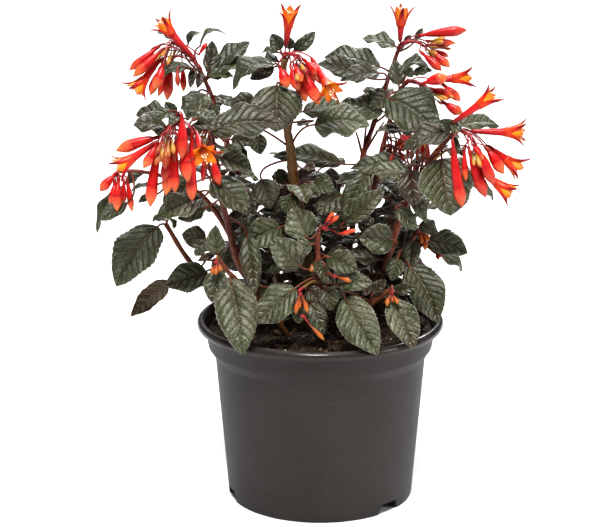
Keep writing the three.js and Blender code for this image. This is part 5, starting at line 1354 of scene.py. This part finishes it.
def stem_material():
    n = Nodes("stem_skin", 0.48, 0.35)
    base = n.ramp(n.span(n.plus(n.height(), n.times(n.noise(60), 0.04)), 0.13, 0.32), [
        (0.0, 0.12, 0.060, 0.022), (0.35, 0.15, 0.035, 0.014), (0.75, 0.13, 0.018, 0.010),
        (1.0, 0.09, 0.012, 0.008),
    ])
    base = n.mix(n.span(n.tone(), 0.62, 0.9, 0.0, 0.8), base, (0.17, 0.10, 0.025))
    base = n.mix(n.span(n.noise(240, 3.0), 0.52, 0.66, 0.0, 0.5), base, (0.22, 0.10, 0.05))
    base = n.mix(n.span(n.noise(700, 2.0), 0.5, 0.68, 0.0, 0.6), base, (0.045, 0.016, 0.008))
    return n.finish(base, n.noise(500, 3.0), 0.6, 0.0006)


def tube_material():
    """Red tube to a seam, then a salmon bulb with an orange tip; a few stay greenish or turn crimson."""
    n = Nodes("coral_tube", 0.36, 0.38, RED_FLESH)
    across, along, _ = n.mark()
    base = n.ramp(n.plus(along, n.sway(150, 0.12)), [
        (0.0, 0.10, 0.012, 0.006), (0.12, 0.16, 0.005, 0.005), (0.22, 0.36, 0.006, 0.006),
        (0.44, 0.56, 0.012, 0.009), (0.58, 0.50, 0.010, 0.008), (0.63, 0.34, 0.006, 0.006),
        (0.67, 0.64, 0.060, 0.028), (0.78, 0.74, 0.125, 0.045), (0.92, 0.76, 0.210, 0.045),
        (1.0, 0.40, 0.09, 0.02),
    ])
    base = n.mix(n.span(n.tone(), 0.5, 0.0, 0.0, 0.85), base, (0.36, 0.007, 0.010))
    base = n.mix(n.span(n.tone(), 0.86, 1.0, 0.0, 0.6), base, (0.55, 0.30, 0.09))
    seam = n.size(n.math("SINE", n.times(across, 2 * math.pi)))
    seam = n.times(n.span(seam, 0.14, 0.03), n.span(along, 0.6, 0.7))
    base = n.mix(n.times(seam, 0.65), base, (0.33, 0.012, 0.010))
    base = n.mix(n.span(n.noise(420, 3.0), 0.45, 0.7, 0.0, 0.35), base, (0.40, 0.008, 0.010))
    return n.finish(base, n.noise(600, 2.0), 0.25, 0.0003)


def sepal_material():
    """The outside of an open flower's sepals: red, darker to the tip."""
    n = Nodes("sepal_back", 0.35, 0.25, RED_FLESH)
    across, along, _ = n.mark()
    base = n.ramp(along, [
        (0.0, 0.62, 0.060, 0.014), (0.3, 0.62, 0.050, 0.014), (0.5, 0.42, 0.012, 0.012),
        (0.68, 0.15, 0.004, 0.012), (1.0, 0.035, 0.002, 0.006),
    ])
    base = n.mix(n.span(n.size(across), 0.3, 0.9, 0.0, 0.5), base, (0.36, 0.006, 0.010))
    return n.finish(base, n.noise(600, 2.0), 0.25, 0.0003)


def petal_material(name, stops):
    n = Nodes(name, 0.4, 0.25, ORANGE_FLESH)
    across, along, _ = n.mark()
    base = n.mix(n.span(n.size(across), 0.6, 1.0, 0.0, 0.6), n.ramp(along, stops), (0.62, 0.035, 0.010))
    base = n.mix(n.span(n.noise(400), 0.4, 0.75, 0.0, 0.4), base, (0.82, 0.30, 0.03))
    return n.finish(base, n.noise(500, 2.0), 0.2, 0.0003)


def flower_stalk_material():
    n = Nodes("flower_stalk", 0.42, 0.35)
    return n.finish(n.ramp(n.noise(250), [(0.3, 0.14, 0.008, 0.010), (0.7, 0.36, 0.03, 0.035)]))


def stamen_material():
    n = Nodes("stamen", 0.5)
    pale = n.ramp(n.tone(), [
        (0.0, 0.75, 0.12, 0.07), (0.4, 0.8, 0.45, 0.3), (0.7, 0.85, 0.66, 0.4), (1.0, 0.88, 0.8, 0.6),
    ])
    return n.finish(n.mix(n.span(n.noise(900), 0.4, 0.7, 0.0, 0.3), pale, (0.75, 0.5, 0.2)))


def young_bud_material(name, stops, blush=(0.36, 0.05, 0.018)):
    n = Nodes(name, 0.4, 0.3)
    _, along, _ = n.mark()
    base = n.ramp(n.plus(along, n.sway(200, 0.35)), stops)
    base = n.mix(n.span(n.tone(), 0.4, 0.8, 0.0, 0.85), base, blush)
    return n.finish(base, n.noise(600, 2.0), 0.2, 0.0003)


def pot_material():
    """Dark plastic with a faint cloud and dust, its lip smoother than the wall."""
    n = Nodes("pot_plastic", 0.5, 0.24)
    base = n.ramp(n.noise(22, 4.0), [(0.35, 0.028, 0.024, 0.022), (0.65, 0.033, 0.029, 0.027)])
    base = n.mix(n.span(n.noise(260, 4.0), 0.55, 0.8, 0.0, 0.25), base, (0.07, 0.065, 0.06))
    worn = n.plus(n.times(n.noise(60), 0.1), n.span(n.height(), 0.119, 0.122, 0.52, 0.16))
    n.feed(n.shader.inputs["Roughness"], worn)
    return n.finish(base, n.noise(900, 2.0), 0.12, 0.0002)


def crumb_material(name, stops):
    n = Nodes(name, 0.9)
    base = n.ramp(n.plus(n.times(n.tone(), 0.6), n.times(n.noise(420), 0.5)), stops)
    return n.finish(base, n.noise(1500, 3.0), 0.5, 0.0004)


def floor_material():
    n = Nodes("pale_floor", 0.9)
    return n.finish(n.ramp(n.noise(3), [(0.3, 0.80, 0.80, 0.80), (0.7, 0.82, 0.82, 0.82)]))


leaf_upper = leaf_material(
    "leaf_upper", [
        (0.0, 0.050, 0.018, 0.011), (0.25, 0.031, 0.025, 0.008), (0.6, 0.033, 0.041, 0.012),
        (1.0, 0.054, 0.063, 0.024),
    ],
    # The crest colour here is a painted sheen on the raised cushions.
    aged=(0.058, 0.030, 0.016), crest_sheen=(0.18, 0.175, 0.115), vein=(0.012, 0.010, 0.004),
    # The rim colour is a pale margin that is partly painted rim light.
    midrib=(0.075, 0.026, 0.014), rim=(0.30, 0.28, 0.22),
)
leaf_under = leaf_material(
    "leaf_under", [(0.1, 0.070, 0.020, 0.012), (0.5, 0.080, 0.042, 0.020), (1.0, 0.090, 0.075, 0.035)],
    # The crest colour here is a painted sheen on the raised cushions.
    aged=(0.085, 0.024, 0.016), crest_sheen=(0.13, 0.085, 0.05), vein=(0.10, 0.028, 0.018),
    # The rim colour is a pale margin that is partly painted rim light.
    midrib=(0.15, 0.035, 0.022), rim=(0.14, 0.09, 0.06),
)
flower_stalk_skin = flower_stalk_material()
young_bud = young_bud_material("young_bud", [
    (0.0, 0.12, 0.03, 0.010), (0.3, 0.25, 0.05, 0.012), (0.65, 0.40, 0.10, 0.016), (0.9, 0.34, 0.13, 0.025),
    (1.0, 0.16, 0.04, 0.014),
])
dark_bud = young_bud_material("dark_bud", [
    (0.0, 0.10, 0.012, 0.008), (0.4, 0.22, 0.018, 0.012), (0.8, 0.30, 0.035, 0.016), (1.0, 0.18, 0.03, 0.014),
])
coral_bud = young_bud_material("coral_bud", [
    (0.0, 0.16, 0.02, 0.012), (0.3, 0.42, 0.025, 0.02), (0.7, 0.60, 0.07, 0.03), (1.0, 0.52, 0.13, 0.035),
])
nest_bud = young_bud_material("nest_bud", [
    (0.0, 0.12, 0.04, 0.012), (0.3, 0.27, 0.16, 0.022), (0.6, 0.40, 0.23, 0.04), (0.85, 0.52, 0.21, 0.045),
    (1.0, 0.30, 0.06, 0.02),
], blush=(0.25, 0.018, 0.018))
orange_petal = petal_material("orange_petal", [
    (0.0, 0.66, 0.10, 0.008), (0.35, 0.80, 0.27, 0.014), (0.8, 0.78, 0.20, 0.012), (1.0, 0.52, 0.05, 0.010),
])
sepal_face = petal_material("sepal_face", [
    (0.0, 0.70, 0.10, 0.008), (0.35, 0.72, 0.12, 0.010), (0.55, 0.50, 0.03, 0.010),
    (0.72, 0.16, 0.006, 0.010), (1.0, 0.04, 0.003, 0.006),
])
plant_materials = [leaf_upper, leaf_under, stem_material(), dark_bud, nest_bud]
BUD_SKINS = {"dark": plant_materials.index(dark_bud), "green": plant_materials.index(nest_bud)}
flower_materials = [
    tube_material(), orange_petal, flower_stalk_skin, stamen_material(), sepal_material(), nest_bud,
    sepal_face,
]


# The plant

for shoot in LEAFY_STEMS.values():
    shoot["stem"] = leaned(shoot["stem"], [0], shoot["lean"])
    shoot["leaves"] = leaned(shoot["leaves"], [1, 4], shoot["lean"])
for name, spray in FLOWER_SPRAYS.items():
    lean = LEAFY_STEMS[name]["lean"]
    spray["axis"] = leaned(spray["axis"], [0], lean)
    spray["buds"] = leaned(spray["buds"], [0, 3], lean)
    spray["flowers"] = leaned(spray["flowers"], [0, 3], lean)
twigs = {}
for name, spray in BUD_SPRAYS.items():
    shoot = LEAFY_STEMS[spray["stem"]]
    spray["buds"] = leaned(spray["buds"], [0, 3], shoot["lean"])
    (end,) = leaned([spray["twig"]], [0], shoot["lean"])
    twigs[name] = twig_path(shoot["stem"], spray["from"], seen(*end))

middles = []
for number, (name, shoot) in enumerate(LEAFY_STEMS.items()):
    draw = random.Random(LEAF_SEED + number)
    shape = Shape()
    stem = shoot["stem"]
    share, tone = (THICK_STEM_SHARE, 1.0) if name == "centre" else (STEM_SHARE, RED_TONE * draw.random())
    add_stem(shape, stem, share, tone)
    for key, spray in BUD_SPRAYS.items():
        if spray["stem"] == name:
            path = [smooth_point(twigs[key], t) for t in steps(8)]
            radii = [mixed([1.3, TWIG_RADIUS, TWIG_RADIUS], t) for t in steps(8)]
            shape.tube(path, radii, 9, LEAF_KINDS["stem"], draw.random())
    for row in shoot["leaves"]:
        middles.append(add_leaf(shape, stem, row, draw))
    for *row, tone in SMALL_LEAVES.get(name, []):
        add_leaf(shape, stem, row, draw, tone)
    for start, *end in BARE_TWIGS.get(name, []):
        root, middle, end = twig_path(stem, start, seen(*end))
        path = [bend(root, middle, end, t) for t in steps(6)]
        shape.tube(path, [mixed([1.0, 0.8, 0.55], t) for t in steps(6)], 8, LEAF_KINDS["stem"], 0.3)
    skin, buds = SMALL_BUDS.get(name, ("dark", []))
    for start, *row in buds:
        add_bud(shape, stem_point(stem, start), row, draw, BUD_SKINS[skin])
    shoot["shape"] = shape
for number, (name, shoot) in enumerate(LEAFY_STEMS.items()):
    add_inner_leaves(shoot["shape"], shoot["stem"], middles, random.Random(INNER_SEED + number))
    piece = shoot["shape"].piece(f"leafy_shoot_{name}", plant_materials)
    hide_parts(f"leafy_stem_{name}")

for number, (name, spray) in enumerate(FLOWER_SPRAYS.items()):
    draw = random.Random(FLOWER_SEED + number)
    stem = LEAFY_STEMS[name]["stem"]
    shape = Shape()
    end, before = stem_point(stem, len(stem) - 1), stem_point(stem, len(stem) - 1.05)
    places = [seen(*place) for place in spray["axis"]]
    buds = spray["buds"] + MORE_BUDS.get(name, [])
    add_spray(shape, end, before, stem[-1][3], places, buds, spray["flowers"], draw)
    piece = shape.piece(f"flowers_{name}", flower_materials)
    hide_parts(f"flower_spray_{name}")

for number, (name, spray) in enumerate(BUD_SPRAYS.items()):
    draw = random.Random(BUD_SEED + number)
    _, before, end = twigs[name]
    way = (end - before).normalized()
    shape = Shape()
    places = [end + way * (SOIL_GAP + TWIG_TIP)]
    add_spray(shape, end, before, TWIG_RADIUS, places, clustered(spray["buds"], draw), [], draw)
    skin = {"right_middle": dark_bud, "front_top": coral_bud}.get(name, young_bud)
    piece = shape.piece(f"young_buds_{name}", [skin, skin, flower_stalk_skin])
    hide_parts(f"bud_spray_{name}")

shape = Shape()
lathe(shape, pot_profile(), 160, 0)
pot = shape.piece("nursery_pot", [pot_material()], sharp=32)
cut_notches(pot)
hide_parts("pot")

peat = crumb_material("peat", [
    (0.1, 0.008, 0.005, 0.003), (0.5, 0.026, 0.015, 0.009), (0.9, 0.09, 0.055, 0.030),
])
shape = Shape()
add_soil_body(shape)
soil = shape.piece("soil_body", [peat])
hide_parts("potting_soil")

shape = Shape()
add_soil_crumbs(shape, random.Random(SOIL_SEED))
crumbs = shape.piece("soil_crumbs", [
    peat,
    crumb_material("pale_grit", [(0.1, 0.30, 0.27, 0.22), (0.9, 0.60, 0.57, 0.50)]),
    crumb_material("bark", [(0.1, 0.05, 0.026, 0.012), (0.9, 0.26, 0.15, 0.08)]),
    crumb_material("moss", [(0.1, 0.045, 0.055, 0.012), (0.9, 0.15, 0.15, 0.04)]),
], sharp=30)


# Floor, light and camera

scene = bpy.context.scene
floor_mesh = bpy.data.meshes.new("floor")
corners = [(FLOOR_REACH * x, FLOOR_REACH * y, 0) for x, y in ((-1, -1), (1, -1), (1, 1), (-1, 1))]
floor_mesh.from_pydata(corners, [], [(0, 1, 2, 3)])
floor_mesh.materials.append(floor_material())
floor = bpy.data.objects.new("floor", floor_mesh)
scene.collection.objects.link(floor)

world = scene.world or bpy.data.worlds.new("world")
scene.world = world
world.use_nodes = True
background = world.node_tree.nodes["Background"]
background.inputs["Color"].default_value = (1.0, 1.0, 1.0, 1.0)
background.inputs["Strength"].default_value = SKY_STRENGTH

# Each light: its name, place, the place it looks at, size in metres and power in watts
PLANT_MIDDLE = (0, 0, 0.2)
LIGHTS = [
    ("overhead_light", (0.1, 0.4, 2.6), (0, 0.4, 0), 2.4, 34),
    ("far_light", (0, 3.4, 2.4), (0, 3.2, 0), 3.5, 130),
    ("key_light", (-0.12, -1.05, 1.9), PLANT_MIDDLE, 0.6, 56),
    ("right_light", (1.6, -0.6, 0.8), PLANT_MIDDLE, 0.6, 8),
    ("back_light", (0.6, 1.5, 1.3), PLANT_MIDDLE, 0.5, 14),
]
for name, place, target, size, power in LIGHTS:
    data = bpy.data.lights.new(name, "AREA")
    data.shape = "DISK"
    data.size = size
    data.energy = power
    light = bpy.data.objects.new(name, data)
    scene.collection.objects.link(light)
    light.location = place
    light.rotation_euler = (Vector(target) - Vector(place)).to_track_quat("-Z", "Y").to_euler()

camera_data = bpy.data.cameras.new("camera")
camera_data.sensor_width = CAMERA_SENSOR
camera_data.lens = CAMERA_LENS
camera_data.shift_x = CAMERA_SHIFT
camera = bpy.data.objects.new("camera", camera_data)
scene.collection.objects.link(camera)
camera.location = (0, -EYE_DISTANCE * MM, EYE_HEIGHT * MM)
camera.rotation_euler = (math.radians(90 - CAMERA_PITCH), 0, 0)
scene.camera = camera
scene.view_settings.view_transform = "Standard"
scene.view_settings.look = "Medium High Contrast"
